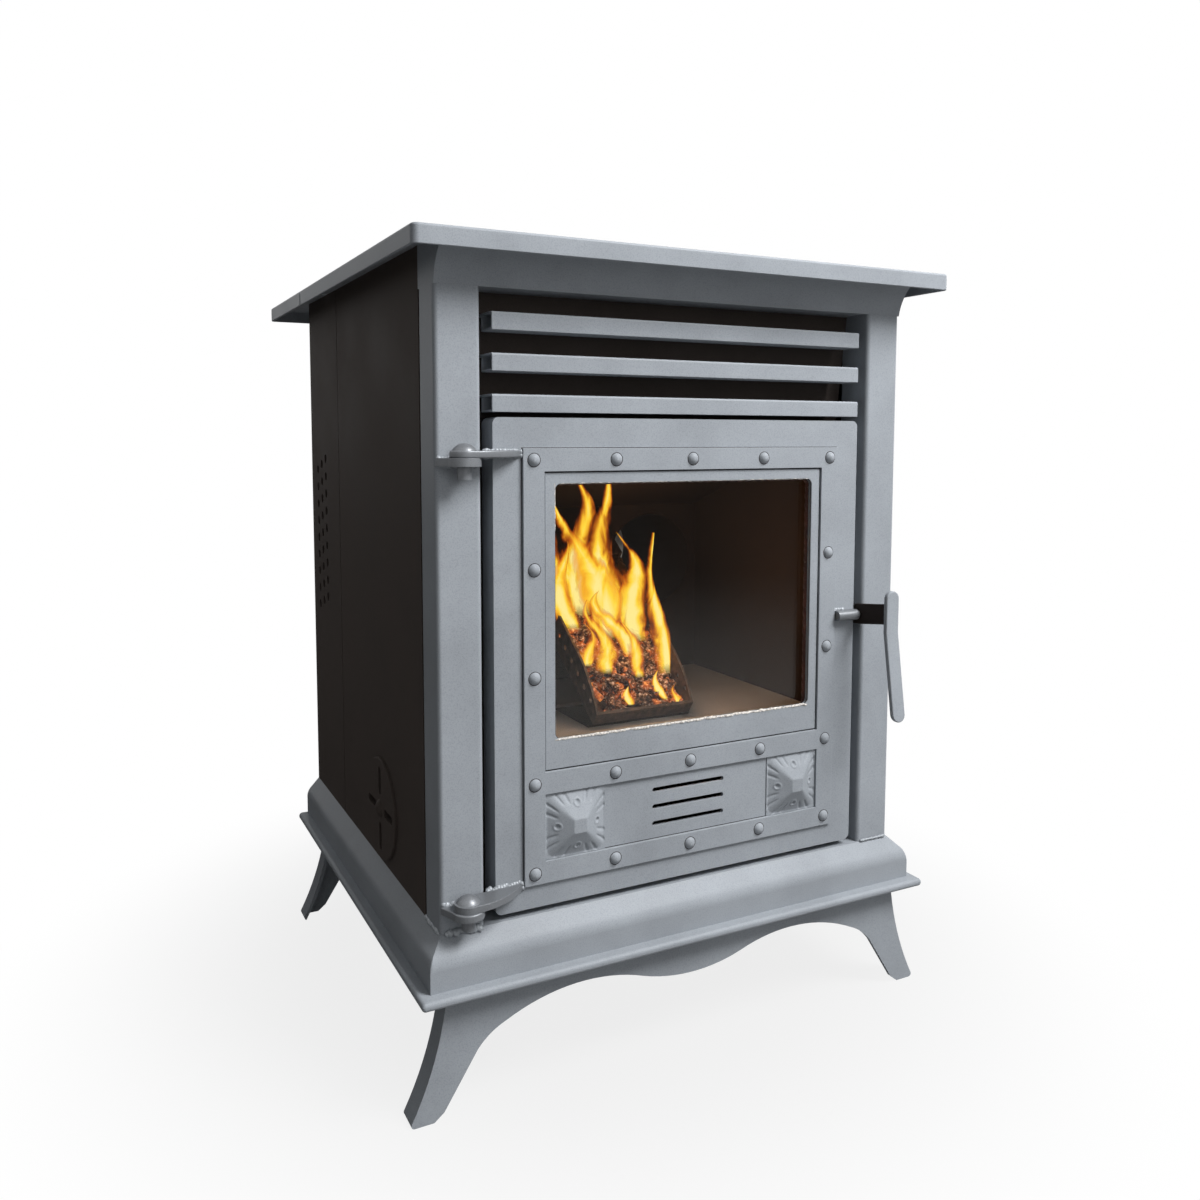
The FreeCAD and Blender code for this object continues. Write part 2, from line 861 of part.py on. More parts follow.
def sloped_block(x0, x1, s0, s1, n0, n1):
    """Block in the slope's own directions, measured from the basket's foot."""
    start = basket_foot() + slope_direction() * s0 + slope_normal() * n0
    run = slope_direction() * (s1 - s0)
    rise = slope_normal() * (n1 - n0)
    corners = [start, start + run, start + run + rise, start + rise]
    face = polygon([Vector(x0, c.y, c.z) for c in corners])
    return face.extrude(X * (x1 - x0))


def basket_side():
    """Side outline of the basket, its rim rounded down to the front lip."""
    def at(run, rise):
        return basket_foot() + slope_direction() * run + slope_normal() * rise - X * basket_half

    lip = at(0, basket_front_lip)
    rim = at(basket_rim_run, basket_wall_height)
    bow_rise = basket_front_lip + (basket_wall_height - basket_front_lip) * basket_bow_rise_share
    bow = at(basket_rim_run * basket_bow_run_share, bow_rise)
    heel = at(0, -basket_sheet)
    low_end = at(basket_length, -basket_sheet)
    high_end = at(basket_length, basket_wall_height)
    return outline([line(heel, low_end), line(low_end, high_end), line(high_end, rim), arc(rim, bow, lip),
                    line(lip, heel)])


def burner_basket():
    """Open trough with perforated cheeks, slotted floor and a front lip."""
    trough = basket_side().extrude(X * (2 * basket_half))
    inner = basket_half - basket_sheet
    trough = trough.cut(sloped_block(-inner, inner, basket_sheet, basket_length + cut_overrun, 0,
                                     basket_wall_height + cut_overrun))
    holes = []
    for index in range(basket_hole_count):
        s = basket_hole_pitch * (index + 1)
        place = basket_foot() + slope_direction() * s + slope_normal() * basket_hole_rise
        holes.append(rod(place - X * body_half, X, basket_hole_radius, body_width))
    for index in range(basket_slot_count):
        s = basket_slot_pitch * (index + 1)
        holes.append(sloped_block(-basket_slot_half, basket_slot_half, s, s + basket_slot_width,
                                  -basket_sheet - cut_overrun, cut_overrun))
    return trough.cut(Part.makeCompound(holes))


def feed_chute():
    """Covered trough that carries pellets from the hopper to the basket."""
    s0 = basket_length
    foot = basket_foot()
    s1 = chute_rise(chute_head_y() - foot.y)
    outer = chute_half + chute_sheet
    chute = sloped_block(-outer, outer, s0, s1, -chute_sheet, chute_wall_height)
    chute = chute.cut(sloped_block(-chute_half, chute_half, s0 - cut_overrun, s1 - chute_sheet, 0,
                                   chute_wall_height - chute_sheet))
    keep_low = box(-outer, outer, front_y, rear_y, body_z, hopper_throat_z())
    chute = chute.common(keep_low)
    mouth = hopper_form(chute_sheet, cut_overrun)
    return chute.cut(mouth)


def ash_pan():
    """Open tray with a rolled front lip, on the plinth's floor."""
    y0 = front_y + ash_front_depth
    y1 = front_y + ash_rear_depth
    rim_z = body_z + ash_height
    tray = box(-ash_half, ash_half, y0, y1, body_z, rim_z)
    inner = ash_half - ash_sheet
    tray = tray.cut(box(-inner, inner, y0 + ash_sheet, y1 - ash_sheet, body_z + ash_sheet,
                        rim_z + cut_overrun))
    lip = box(-inner, inner, y0 - ash_lip, y0, rim_z - ash_sheet, rim_z)
    return tray.fuse(lip).removeSplitter()


def base_floor():
    """Floor sheet of the body on top of the plinth."""
    half = body_half - jacket_sheet
    return box(-half, half, front_y + jacket_sheet, rear_y - jacket_sheet, body_z - jacket_sheet, body_z)


def door_leaf():
    """Front sheet with folded edges, window opening and three air slots."""
    leaf = rounded_panel(door_half, door_z, door_top_z, door_corner_radius, door_y, door_rear_y)
    inner_radius = door_corner_radius - door_sheet
    hollow = rounded_panel(door_half - door_sheet, door_z + door_sheet, door_top_z - door_sheet,
                           inner_radius, door_y + door_sheet, door_rear_y + cut_overrun)
    leaf = leaf.cut(hollow)
    half, low, high = bezel_box(0)
    leaf = leaf.cut(box(-half, half, door_y - cut_overrun, door_y + door_sheet + cut_overrun, low, high))
    middle = (panel_low_z + panel_high_z) / 2
    for index in (-1, 0, 1):
        centre = Vector(0, door_y - cut_overrun, middle + index * air_slot_pitch)
        depth = door_sheet + 2 * cut_overrun
        leaf = leaf.cut(stadium(centre, X, Z, air_slot_length, air_slot_height, Y, depth))
    return leaf


def trim_ladder():
    """Ladder of flat bar riveted round the window and the lower panel."""
    y0 = door_y - flat_bar_thickness
    bar = flat_bar_width / 2
    ladder = box(-frame_half, frame_half, y0, door_y, rivet_low_z - bar, rivet_top_z + bar)
    for z0, z1 in ((panel_low_z, panel_high_z), (window_low_z, window_high_z)):
        ladder = ladder.cut(box(-window_half, window_half, y0 - cut_overrun, door_y + cut_overrun, z0, z1))
    return ladder


def rivet_places():
    """Centres of the trim's rivets in X and Z."""
    places = []
    columns = range(-outer_column_count, outer_column_count + 1)
    for z in (rivet_top_z, rivet_mid_z, rivet_low_z):
        places += [(column * column_pitch, z) for column in columns]
    for row in range(1, upper_row_count):
        z = rivet_top_z - row * upper_row_pitch
        places += [(column * column_pitch, z) for column in (-outer_column_count, outer_column_count)]
    return places


def trim_rivets():
    """Dome heads standing on the ladder."""
    y = door_y - flat_bar_thickness
    heads = [dome(Vector(x, y, z), -Y, rivet_head_radius, rivet_head_height) for x, z in rivet_places()]
    return Part.makeCompound(heads)


def window_ring(half, low, high, border, low_border, radius, y0, y1):
    """Flat ring with a rounded opening."""
    ring = box(-half, half, y0, y1, low, high)
    return ring.cut(rounded_panel(half - border, low + low_border, high - border, radius, y0 - cut_overrun,
                                  y1 + cut_overrun))


def bezel_box(clearance):
    """Half width, low and high edge of the bezel's seat in the leaf."""
    inset = bezel_seat_inset + clearance
    return window_half - inset, window_low_z + inset, window_high_z - inset


def window_bezel():
    """Sheet frame inside the ladder with the rounded window."""
    half, low, high = bezel_box(running_clearance)
    return window_ring(half, low, high, bezel_border, bezel_low_border, window_corner_radius,
                       door_y - bezel_proud, door_y + door_sheet)


def glass_box():
    """Half width, low and high edge of the glass pane."""
    half = window_half - bezel_border + glass_lap
    return half, window_low_z + bezel_low_border - glass_lap, window_high_z - bezel_border + glass_lap


def glass_face_y():
    """Front of the glass, behind the bezel and its rope."""
    return door_y + door_sheet + glass_rope_thickness


def window_glass():
    """Ceramic glass pane."""
    half, low, high = glass_box()
    return box(-half, half, glass_face_y(), glass_face_y() + glass_thickness, low, high)


def glass_rope():
    """Flat woven seal between bezel and glass."""
    half, low, high = glass_box()
    return window_ring(half, low, high, glass_rope_thickness, glass_rope_thickness, window_corner_radius,
                       door_y + door_sheet, glass_face_y())


def glass_clip(sign, z):
    """Stepped clip over one side of the pane, and its screw head."""
    half = glass_box()[0]
    rear = glass_face_y() + glass_thickness
    face = door_y + door_sheet
    z0 = z - clip_length / 2
    z1 = z + clip_length / 2

    def strip(x_a, x_b, y0, y1):
        x0, x1 = sorted((sign * x_a, sign * x_b))
        return box(x0, x1, y0, y1, z0, z1)

    inner = half + running_clearance
    step = half + clip_thickness
    clip = strip(half - clip_bite, step, rear, rear + clip_thickness)
    clip = clip.fuse(strip(inner, step, face, rear + clip_thickness))
    clip = clip.fuse(strip(inner, half + clip_width, face, face + clip_thickness))
    seat = Vector(sign * (half + clip_width / 2), face + clip_thickness, z)
    return [clip.removeSplitter(), dome(seat, Y, clip_screw_radius, clip_screw_height)]


def glass_clips():
    """Clips that hold the pane against its rope."""
    half, low, high = glass_box()
    pieces = []
    for sign in (-1, 1):
        for z in (low + clip_length, high - clip_length):
            pieces += glass_clip(sign, z)
    return Part.makeCompound(pieces)


def rope_ring(inset, width, y0, y1):
    """Rounded ring inside the door's edge."""
    def panel(edge, radius, start, end):
        return rounded_panel(door_half - edge, door_z + edge, door_top_z - edge, radius, start, end)

    outer_inset = door_sheet + inset
    outer = panel(outer_inset, door_corner_radius, y0, y1)
    return outer.cut(panel(outer_inset + width, rope_inner_radius, y0 - cut_overrun, y1 + cut_overrun))


def rope_channel():
    """Channel on the back of the leaf that holds the door rope."""
    wall = rope_channel_sheet
    channel = rope_ring(rope_channel_inset, rope_channel_width, door_y + door_sheet, door_rear_y)
    groove = rope_ring(rope_channel_inset + wall, rope_channel_width - 2 * wall,
                       door_rear_y - rope_groove_depth, door_rear_y + cut_overrun)
    return channel.cut(groove)


def door_rope():
    """Sealing rope in its channel, just short of the firebox face."""
    wall = rope_channel_sheet + soft_clearance
    face = plate_y - soft_clearance
    rope = rope_ring(rope_channel_inset + wall, rope_channel_width - 2 * wall,
                     door_rear_y - rope_groove_depth, face)
    edges = [e for e in rope.Edges if abs(e.CenterOfMass.y - face) < running_clearance]
    return rope.makeFillet(rope_edge_radius, edges)


def rosette_flutes(centre, edge_half):
    """Cutters for the four sloping sides: a fan of tapering flutes and a round dimple on each."""
    run = edge_half - rosette_top / 2
    rise = rosette_height - rosette_edge
    middle = (rosette_flute_count - 1) / 2
    cutters = []
    for side in range(4):
        turn = math.pi / 2 * side
        out = X * math.cos(turn) + Z * math.sin(turn)
        along = X * -math.sin(turn) + Z * math.cos(turn)
        start = centre - Y * rosette_edge + out * edge_half
        for index in range(rosette_flute_count):
            fan = math.radians(rosette_flute_fan_degrees) * (index - middle)
            inward = out * -run * math.cos(fan) + along * run * math.sin(fan) - Y * rise
            inward.normalize()
            place = start + along * (edge_half * rosette_flute_spread_share * (index - middle))
            cutters.append(Part.makeCone(rosette_flute_radius, rosette_flute_radius * rosette_flute_tip_share,
                                         run * rosette_flute_reach_share, place, inward))
        into = Y * run - out * rise
        into.normalize()
        dimple = start + (out * -run - Y * rise) * rosette_dimple_reach_share - into * running_clearance
        cutters.append(Part.makeCone(rosette_dimple_radius, rosette_dimple_radius * rosette_flute_tip_share,
                                     rosette_dimple_depth, dimple, into))
    return Part.makeCompound(cutters)


def rosette(sign):
    """Stamped square pyramid with a flat top, and flutes and a dimple on each side."""
    half = rosette_size / 2
    centre = Vector(sign * (window_half - half), door_y, (panel_low_z + panel_high_z) / 2)
    edge_half = half - soft_clearance

    def square(half_side, reach):
        return [centre - Y * reach + X * (half_side * a) + Z * (half_side * b)
                for a, b in ((-1, -1), (1, -1), (1, 1), (-1, 1))]

    foot = square(edge_half, rosette_edge)
    rim = frustum(square(edge_half, 0), foot)
    slope = frustum(foot, square(rosette_top / 2, rosette_height))
    return rim.fuse(slope).removeSplitter().cut(rosette_flutes(centre, edge_half))


def eye_hole(z, thickness):
    """Cutter for the pin through a lug."""
    start = Vector(pin_x, pin_y, z - cut_overrun)
    return rod(start, Z, pin_radius + running_clearance, thickness + 2 * cut_overrun)


def fixed_lug(z):
    """Ear on the post front under the door's lug."""
    z0 = z - fixed_lug_thickness
    eye = rod(Vector(pin_x, pin_y, z0), Z, fixed_eye_radius, fixed_lug_thickness)
    root_half = post_size / 2
    ear = polygon([Vector(pin_x - root_half, front_y, z0), Vector(pin_x - fixed_eye_radius, pin_y, z0),
                   Vector(pin_x + fixed_eye_radius, pin_y, z0), Vector(pin_x + root_half, front_y, z0)])
    lug = eye.fuse(ear.extrude(Z * fixed_lug_thickness))
    return lug.cut(eye_hole(z0, fixed_lug_thickness)).removeSplitter()


def door_lug(z):
    """Arm from the pin to its weld on the door face, with a bulging front edge."""
    tip_x = -door_half + lug_weld_length
    rear = front_y - lug_clear

    def at(x, y):
        return Vector(x, y, z)

    tip = at(tip_x - lug_tip_reach, door_y - lug_tip_reach)
    waist = at((tip_x + pin_x) / 2, front_y - lug_waist_reach)
    shoulder = at(pin_x + lug_clear, pin_y - lug_eye_radius + lug_eye_inset)
    edges = [
        line(at(pin_x, rear), at(-door_half - lug_clear, rear)),
        line(at(-door_half - lug_clear, rear), at(-door_half + lug_clear, door_y)),
        line(at(-door_half + lug_clear, door_y), at(tip_x, door_y)),
        line(at(tip_x, door_y), tip),
        arc(tip, waist, shoulder),
        line(shoulder, at(pin_x, pin_y)),
        line(at(pin_x, pin_y), at(pin_x, rear)),
    ]
    arm = outline(edges).extrude(Z * lug_thickness)
    eye = rod(Vector(pin_x, pin_y, z), Z, lug_eye_radius, lug_thickness)
    return eye.fuse(arm).cut(eye_hole(z, lug_thickness)).removeSplitter()


def hinge_pin(z):
    """Dome-headed pin dropped through both lugs."""
    head_z = z + lug_thickness
    tail_z = z - fixed_lug_thickness - pin_tail
    shank = rod(Vector(pin_x, pin_y, tail_z), Z, pin_radius, head_z - tail_z)
    return shank.fuse(dome(Vector(pin_x, pin_y, head_z), Z, pin_head_radius, pin_head_height))


def handle_bush():
    """Bush block welded on the door's edge."""
    x1 = door_half
    x0 = x1 - bush_length
    start = Vector(x0, handle_y, handle_z)
    block = rod(start, X, bush_radius, bush_length)
    block = block.fuse(box(x0, x1, handle_y, door_y, handle_z - bush_radius, handle_z + bush_radius))
    bore = rod(start - X * cut_overrun, X, shaft_radius + running_clearance, bush_length + 2 * cut_overrun)
    return block.cut(bore).removeSplitter()


def latch_x():
    """Near face of the latch plate in the gap beside the door."""
    return door_half + latch_gap


def handle_shaft():
    """Turning pin in the bush, welded to the latch plate."""
    x0 = door_half - bush_length
    return rod(Vector(x0, handle_y, handle_z), X, shaft_radius, latch_x() - x0)


def latch_plate():
    """Lever in the gap: hook behind the keeper at the rear, arm to the grip in front."""
    def at(reach, rise):
        return handle_y + reach, handle_z + rise

    front = -latch_front_reach
    corners = [
        at(front, latch_half_height + latch_front_rise),
        at(front, latch_front_rise - latch_half_height),
        at(0, -latch_half_height),
        at(hook_reach, -hook_drop),
        at(hook_reach, hook_nose),
        at(hook_throat, hook_nose),
        at(hook_throat, 0),
        at(latch_half_height, 0),
        at(latch_half_height * latch_neck_share, latch_half_height),
    ]
    return across(corners, latch_x(), latch_x() + latch_thickness)


def handle_grip():
    """Flat strip with round ends, its lower part leaning out."""
    rear = handle_y - latch_front_reach
    front = rear - grip_thickness
    top = handle_z + grip_above
    kink = top - grip_straight
    low = top - grip_length
    strip_x = latch_x()
    strip = across([(rear, top), (rear, kink), (rear - grip_lean, low), (front - grip_lean, low),
                    (front, kink), (front, top)], strip_x, strip_x + grip_width)
    centre = Vector(strip_x + grip_width / 2, front - grip_lean - cut_overrun, (top + low) / 2)
    depth = grip_thickness + grip_lean + 2 * cut_overrun
    return strip.common(stadium(centre, Z, X, grip_length, grip_width, Y, depth))


def keeper():
    """Stud on the right post that the hook closes behind."""
    place = Vector(opening_half, handle_y + keeper_reach, handle_z + keeper_rise)
    return rod(place, -X, keeper_radius, keeper_length)


def regulator_disc():
    """Turning disc with a cross of slots, outside the left panel."""
    x0 = -body_half - regulator_thickness
    disc = rod(regulator_centre(x0), X, regulator_radius, regulator_thickness)
    rim = [e for e in disc.Edges if e.BoundBox.XMax < x0 + running_clearance]
    disc = disc.makeChamfer(regulator_edge_chamfer, rim)
    disc = disc.cut(regulator_slots(x0 - cut_overrun, regulator_thickness + 2 * cut_overrun))
    hole = rod(regulator_centre(x0 - cut_overrun), X, regulator_rivet_radius + running_clearance,
               regulator_thickness + 2 * cut_overrun)
    return disc.cut(hole)


def regulator_rivet():
    """Rivet that the disc turns on."""
    face = -body_half - regulator_thickness
    length = regulator_thickness + jacket_sheet
    shank = rod(regulator_centre(face), X, regulator_rivet_radius, length)
    return shank.fuse(dome(regulator_centre(face), -X, regulator_head_radius, regulator_head_height))


def lid_axis(x):
    """Point on the lid's hinge line."""
    y = rear_y + hopper_rear_reach + soft_clearance + lid_knuckle_radius
    z = top_z + top_sheet - top_lip - lid_hinge_drop
    return Vector(x, y, z)


def knuckle_bore(start):
    """Cutter for the hinge pin through one knuckle."""
    return rod(start - X * cut_overrun, X, lid_knuckle_bore + running_clearance,
               lid_knuckle_length + 2 * cut_overrun)


def lid_fixed_knuckles():
    """Middle knuckle of each lid hinge, with a leaf on the hopper's rear wall."""
    pieces = []
    wall_y = rear_y + hopper_rear_reach
    for sign in (-1, 1):
        x = sign * lid_hinge_half - lid_knuckle_length / 2
        start = lid_axis(x)
        knuckle = rod(start, X, lid_knuckle_radius, lid_knuckle_length)
        leaf = box(x, x + lid_knuckle_length, wall_y, wall_y + lid_leaf_thickness,
                   start.z - lid_leaf_height, start.z)
        pieces.append(knuckle.fuse(leaf).cut(knuckle_bore(start)).removeSplitter())
    return Part.makeCompound(pieces)


def lid_strap(start):
    """Strap from a knuckle up to the inside of the lid's rear lip."""
    lip_y = rear_y + top_rear_reach - top_sheet
    inner_y = lip_y - lid_leaf_thickness
    bend_z = start.z + lid_hinge_drop
    corners = [(start.y, start.z), (start.y + lid_knuckle_radius, start.z), (lip_y, bend_z),
               (lip_y, top_z), (inner_y, top_z), (inner_y, bend_z)]
    return across(corners, start.x, start.x + lid_knuckle_length)


def lid_knuckles():
    """Outer knuckles of each lid hinge, with straps to the lid."""
    pieces = []
    gap = lid_knuckle_length / 2 + soft_clearance
    for sign in (-1, 1):
        for offset in (-gap - lid_knuckle_length, gap):
            start = lid_axis(sign * lid_hinge_half + offset)
            knuckle = rod(start, X, lid_knuckle_radius, lid_knuckle_length)
            pieces.append(knuckle.fuse(lid_strap(start)).cut(knuckle_bore(start)).removeSplitter())
    return Part.makeCompound(pieces)


def lid_hinge_pins():
    """Pins through the lid's knuckles."""
    half = lid_knuckle_length / 2 + soft_clearance + lid_knuckle_length
    pins = [rod(lid_axis(sign * lid_hinge_half - half), X, lid_knuckle_bore, 2 * half) for sign in (-1, 1)]
    return Part.makeCompound(pins)


def build():
    """Every node of the stove by name."""
    front_leg_y = front_y - base_front_reach + leg_front_inset
    rear_leg_y = rear_y - leg_rear_inset
    nodes = {
        "base_plate": base_plate(),
        "plinth": plinth(),
        "body_floor": base_floor(),
        "front_legs": legs(front_leg_y, leg_flange_depth),
        "rear_legs": legs(rear_leg_y, -leg_flange_depth),
        "left_post": post(-1),
        "right_post": post(1),
        "lintel_cove": lintel(),
        "lower_slat": slat(0),
        "middle_slat": slat(1),
        "upper_slat": slat(2),
        "louvre_back": louvre_back(),
        "left_side_panel": side_panel(-1),
        "right_side_panel": side_panel(1),
        "left_rear_jacket": rear_jacket(-1),
        "right_rear_jacket": rear_jacket(1),
        "back_panel": back_panel(),
        "flue_tube": flue_tube(),
        "flue_spigot": flue_spigot(),
        "flue_ring": flue_ring(),
        "front_plate": front_plate(),
        "firebox_shell": firebox_shell(),
        "firebox_floor": firebox_floor(),
        "smoke_baffle": baffle(),
        "top_plate": top_plate(),
        "hopper": hopper(),
        "feed_chute": feed_chute(),
        "burner_basket": burner_basket(),
        "ash_pan": ash_pan(),
        "upper_fixed_lug": fixed_lug(upper_lug_z),
        "lower_fixed_lug": fixed_lug(lug_z),
        "latch_keeper": keeper(),
        "regulator_rivet": regulator_rivet(),
        "lid_fixed_knuckles": lid_fixed_knuckles(),
        "door_leaf": door_leaf(),
        "trim_ladder": trim_ladder(),
        "trim_rivets": trim_rivets(),
        "window_bezel": window_bezel(),
        "window_glass": window_glass(),
        "glass_rope": glass_rope(),
        "glass_clips": glass_clips(),
        "rope_channel": rope_channel(),
        "door_rope": door_rope(),
        "left_rosette": rosette(-1),
        "right_rosette": rosette(1),
        "upper_door_lug": door_lug(upper_lug_z),
        "lower_door_lug": door_lug(lug_z),
        "upper_hinge_pin": hinge_pin(upper_lug_z),
        "lower_hinge_pin": hinge_pin(lug_z),
        "handle_bush": handle_bush(),
        "handle_shaft": handle_shaft(),
        "latch_plate": latch_plate(),
        "handle_grip": handle_grip(),
        "regulator_disc": regulator_disc(),
        "hopper_lid": lid(),
        "lid_knuckles": lid_knuckles(),
        "lid_hinge_pins": lid_hinge_pins(),
    }
    return nodes


def main():
    """Write one file for each node."""
    os.makedirs("parts", exist_ok=True)
    for name, shape in build().items():
        shape.exportStep("parts/" + name + ".step")


main()
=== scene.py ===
"""Looks of a pellet stove: painted sheets with soft edges, welds, rosettes, ropes, fire and stage."""
import json
import math
import random

import bmesh
import bpy
from bpy.props import FloatProperty, FloatVectorProperty, IntProperty, PointerProperty
from mathutils import Matrix, Vector


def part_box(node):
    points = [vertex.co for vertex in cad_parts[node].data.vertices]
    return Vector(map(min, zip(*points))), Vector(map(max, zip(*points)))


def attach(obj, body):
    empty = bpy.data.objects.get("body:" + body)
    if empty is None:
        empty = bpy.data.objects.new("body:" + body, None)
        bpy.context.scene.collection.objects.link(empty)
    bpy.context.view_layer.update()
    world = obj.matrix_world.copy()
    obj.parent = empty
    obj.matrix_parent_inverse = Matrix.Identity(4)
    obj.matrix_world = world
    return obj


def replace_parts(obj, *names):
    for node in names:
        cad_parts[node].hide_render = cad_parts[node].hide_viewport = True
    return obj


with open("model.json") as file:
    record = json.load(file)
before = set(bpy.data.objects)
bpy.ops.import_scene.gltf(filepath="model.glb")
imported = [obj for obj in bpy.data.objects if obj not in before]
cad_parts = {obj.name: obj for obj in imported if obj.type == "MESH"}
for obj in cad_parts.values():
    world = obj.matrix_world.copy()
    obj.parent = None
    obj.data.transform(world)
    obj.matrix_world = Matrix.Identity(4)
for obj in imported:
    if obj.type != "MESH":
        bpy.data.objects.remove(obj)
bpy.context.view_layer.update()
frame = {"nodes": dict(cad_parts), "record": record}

bl_info = {
    "name": "Pellet Stove Dressing",
    "version": (1, 0, 0),
    "blender": (4, 5, 0),
    "location": "View3D > Sidebar > Stove",
    "description": "Dresses the packed stove with finishes, welds, ropes, a fire and a plain stage",
    "category": "Object",
}

MM = 0.001
WHITE = (1, 1, 1, 1)
BLACK = (0, 0, 0, 1)
NODES = frame["nodes"]
BODY_OF = {n: b for b, names in frame["record"]["behaviour"]["bodies"].items() for n in names}
SLOT_OF = {s["node"]: s["material_slot"] for s in frame["record"]["subparts"]}


def linear(code):
    """Linear RGBA of an sRGB hex colour."""
    parts = [int(code[i:i + 2], 16) / 255 for i in (1, 3, 5)]
    return [c / 12.92 if c <= 0.04045 else ((c + 0.055) / 1.055) ** 2.4 for c in parts] + [1.0]


class StoveFinishSettings(bpy.types.PropertyGroup):
    """Colours of the stove's finishes."""
    paint: FloatVectorProperty(
        name="Front paint", description="Satin grey heat-proof paint", subtype="COLOR", size=4,
        min=0, max=1, default=linear("#959aa0"))
    # This darker colour is partly painted shade: the side and rear sheets are made darker than the front to
    # stand for the shade on the stove's side
    jacket: FloatVectorProperty(
        name="Jacket paint", description="Darker paint of the side and rear sheets, partly painted shade", subtype="COLOR", size=4,
        min=0, max=1, default=linear("#4d4642"))
    hardware: FloatVectorProperty(
        name="Hardware paint", description="Worn paint of the lugs, pins and bush", subtype="COLOR", size=4,
        min=0, max=1, default=linear("#7a7d81"))
    # The weld colour is a little lighter than the front paint as a painted highlight on the beads
    weld: FloatVectorProperty(
        name="Weld paint", description="Paint over the weld beads, a little lighter as painted highlight", subtype="COLOR", size=4,
        min=0, max=1, default=linear("#999ea3"))
    dark: FloatVectorProperty(
        name="Firebox paint", description="Matt black paint inside the stove", subtype="COLOR", size=4,
        min=0, max=1, default=linear("#2d2725"))
    rope: FloatVectorProperty(
        name="Rope", description="Heat-browned glass-fibre rope", subtype="COLOR", size=4,
        min=0, max=1, default=linear("#4d2a20"))


class StoveDetailSettings(bpy.types.PropertyGroup):
    """Sizes of the dressing's details."""
    edge: FloatProperty(
        name="Edge softness", description="Rounding of sheet and bar edges", unit="LENGTH",
        min=0.0001, max=0.003, default=0.8 * MM)
    weld: FloatProperty(
        name="Weld radius", description="Half width of a weld bead", unit="LENGTH",
        min=0.0005, max=0.006, default=3.0 * MM)
    pellet_radius: FloatProperty(
        name="Pellet radius", description="Half thickness of a wood pellet", unit="LENGTH",
        min=0.001, max=0.006, default=3.2 * MM)
    pellet_count: IntProperty(
        name="Pellets", description="Pellets on the burner basket", min=0, max=900, default=420)
    joint: FloatProperty(
        name="Joint line", description="Width of the shade in the joints of the door's trim", unit="LENGTH",
        min=0.0001, max=0.003, default=0.55 * MM)


class StoveStageSettings(bpy.types.PropertyGroup):
    """Floor, light and camera."""
    floor: FloatVectorProperty(
        name="Floor", description="Pale floor colour", subtype="COLOR", size=4, min=0, max=1,
        default=linear("#848484"))
    key_power: FloatProperty(
        name="Key light", description="Power of the high lamp on the right", unit="POWER", min=0,
        default=80.0)
    fill_power: FloatProperty(
        name="Fill light", description="Power of the soft lamp in front", unit="POWER", min=0,
        default=5.0)
    fire_power: FloatProperty(
        name="Fire light", description="Power of the warm lamp in the flames", unit="POWER", min=0,
        default=1.0)
    ambient: FloatProperty(
        name="Ambient", description="Strength of the surrounding light on its bright side", min=0, max=2,
        default=0.4)
    lens: FloatProperty(
        name="Lens", description="Camera focal length", subtype="DISTANCE_CAMERA", min=10, max=200,
        default=31.04)


def add(tree, kind, settings=None, **links):
    """Node of a kind with its attributes or input values set and its inputs linked; i6 is input number 6."""
    node = tree.nodes.new(kind)
    for key, value in (settings or {}).items():
        if isinstance(key, str) and hasattr(node, key):
            setattr(node, key, value)
        else:
            node.inputs[key].default_value = value
    for key, source in links.items():
        socket = node.inputs[int(key[1:])] if key[0] == "i" and key[1:].isdigit() else node.inputs[key]
        tree.links.new(source, socket)
    return node


def blank(name):
    """New node material with only its output."""
    material = bpy.data.materials.new(name)
    material.use_nodes = True
    material.node_tree.nodes.clear()
    output = material.node_tree.nodes.new("ShaderNodeOutputMaterial")
    return material, material.node_tree, output


def ramp(tree, source, stops):
    """Colour ramp over a value, from (place, colour) stops."""
    node = add(tree, "ShaderNodeValToRGB", Fac=source)
    band = node.color_ramp
    band.elements[0].position, band.elements[0].color = stops[0]
    band.elements[1].position, band.elements[1].color = stops[-1]
    for place, colour in stops[1:-1]:
        band.elements.new(place).color = colour
    return node.outputs["Color"]


def shade(colour, factor):
    """Colour scaled by a factor, opaque."""
    return [min(1, c * factor) for c in colour[:3]] + [1.0]


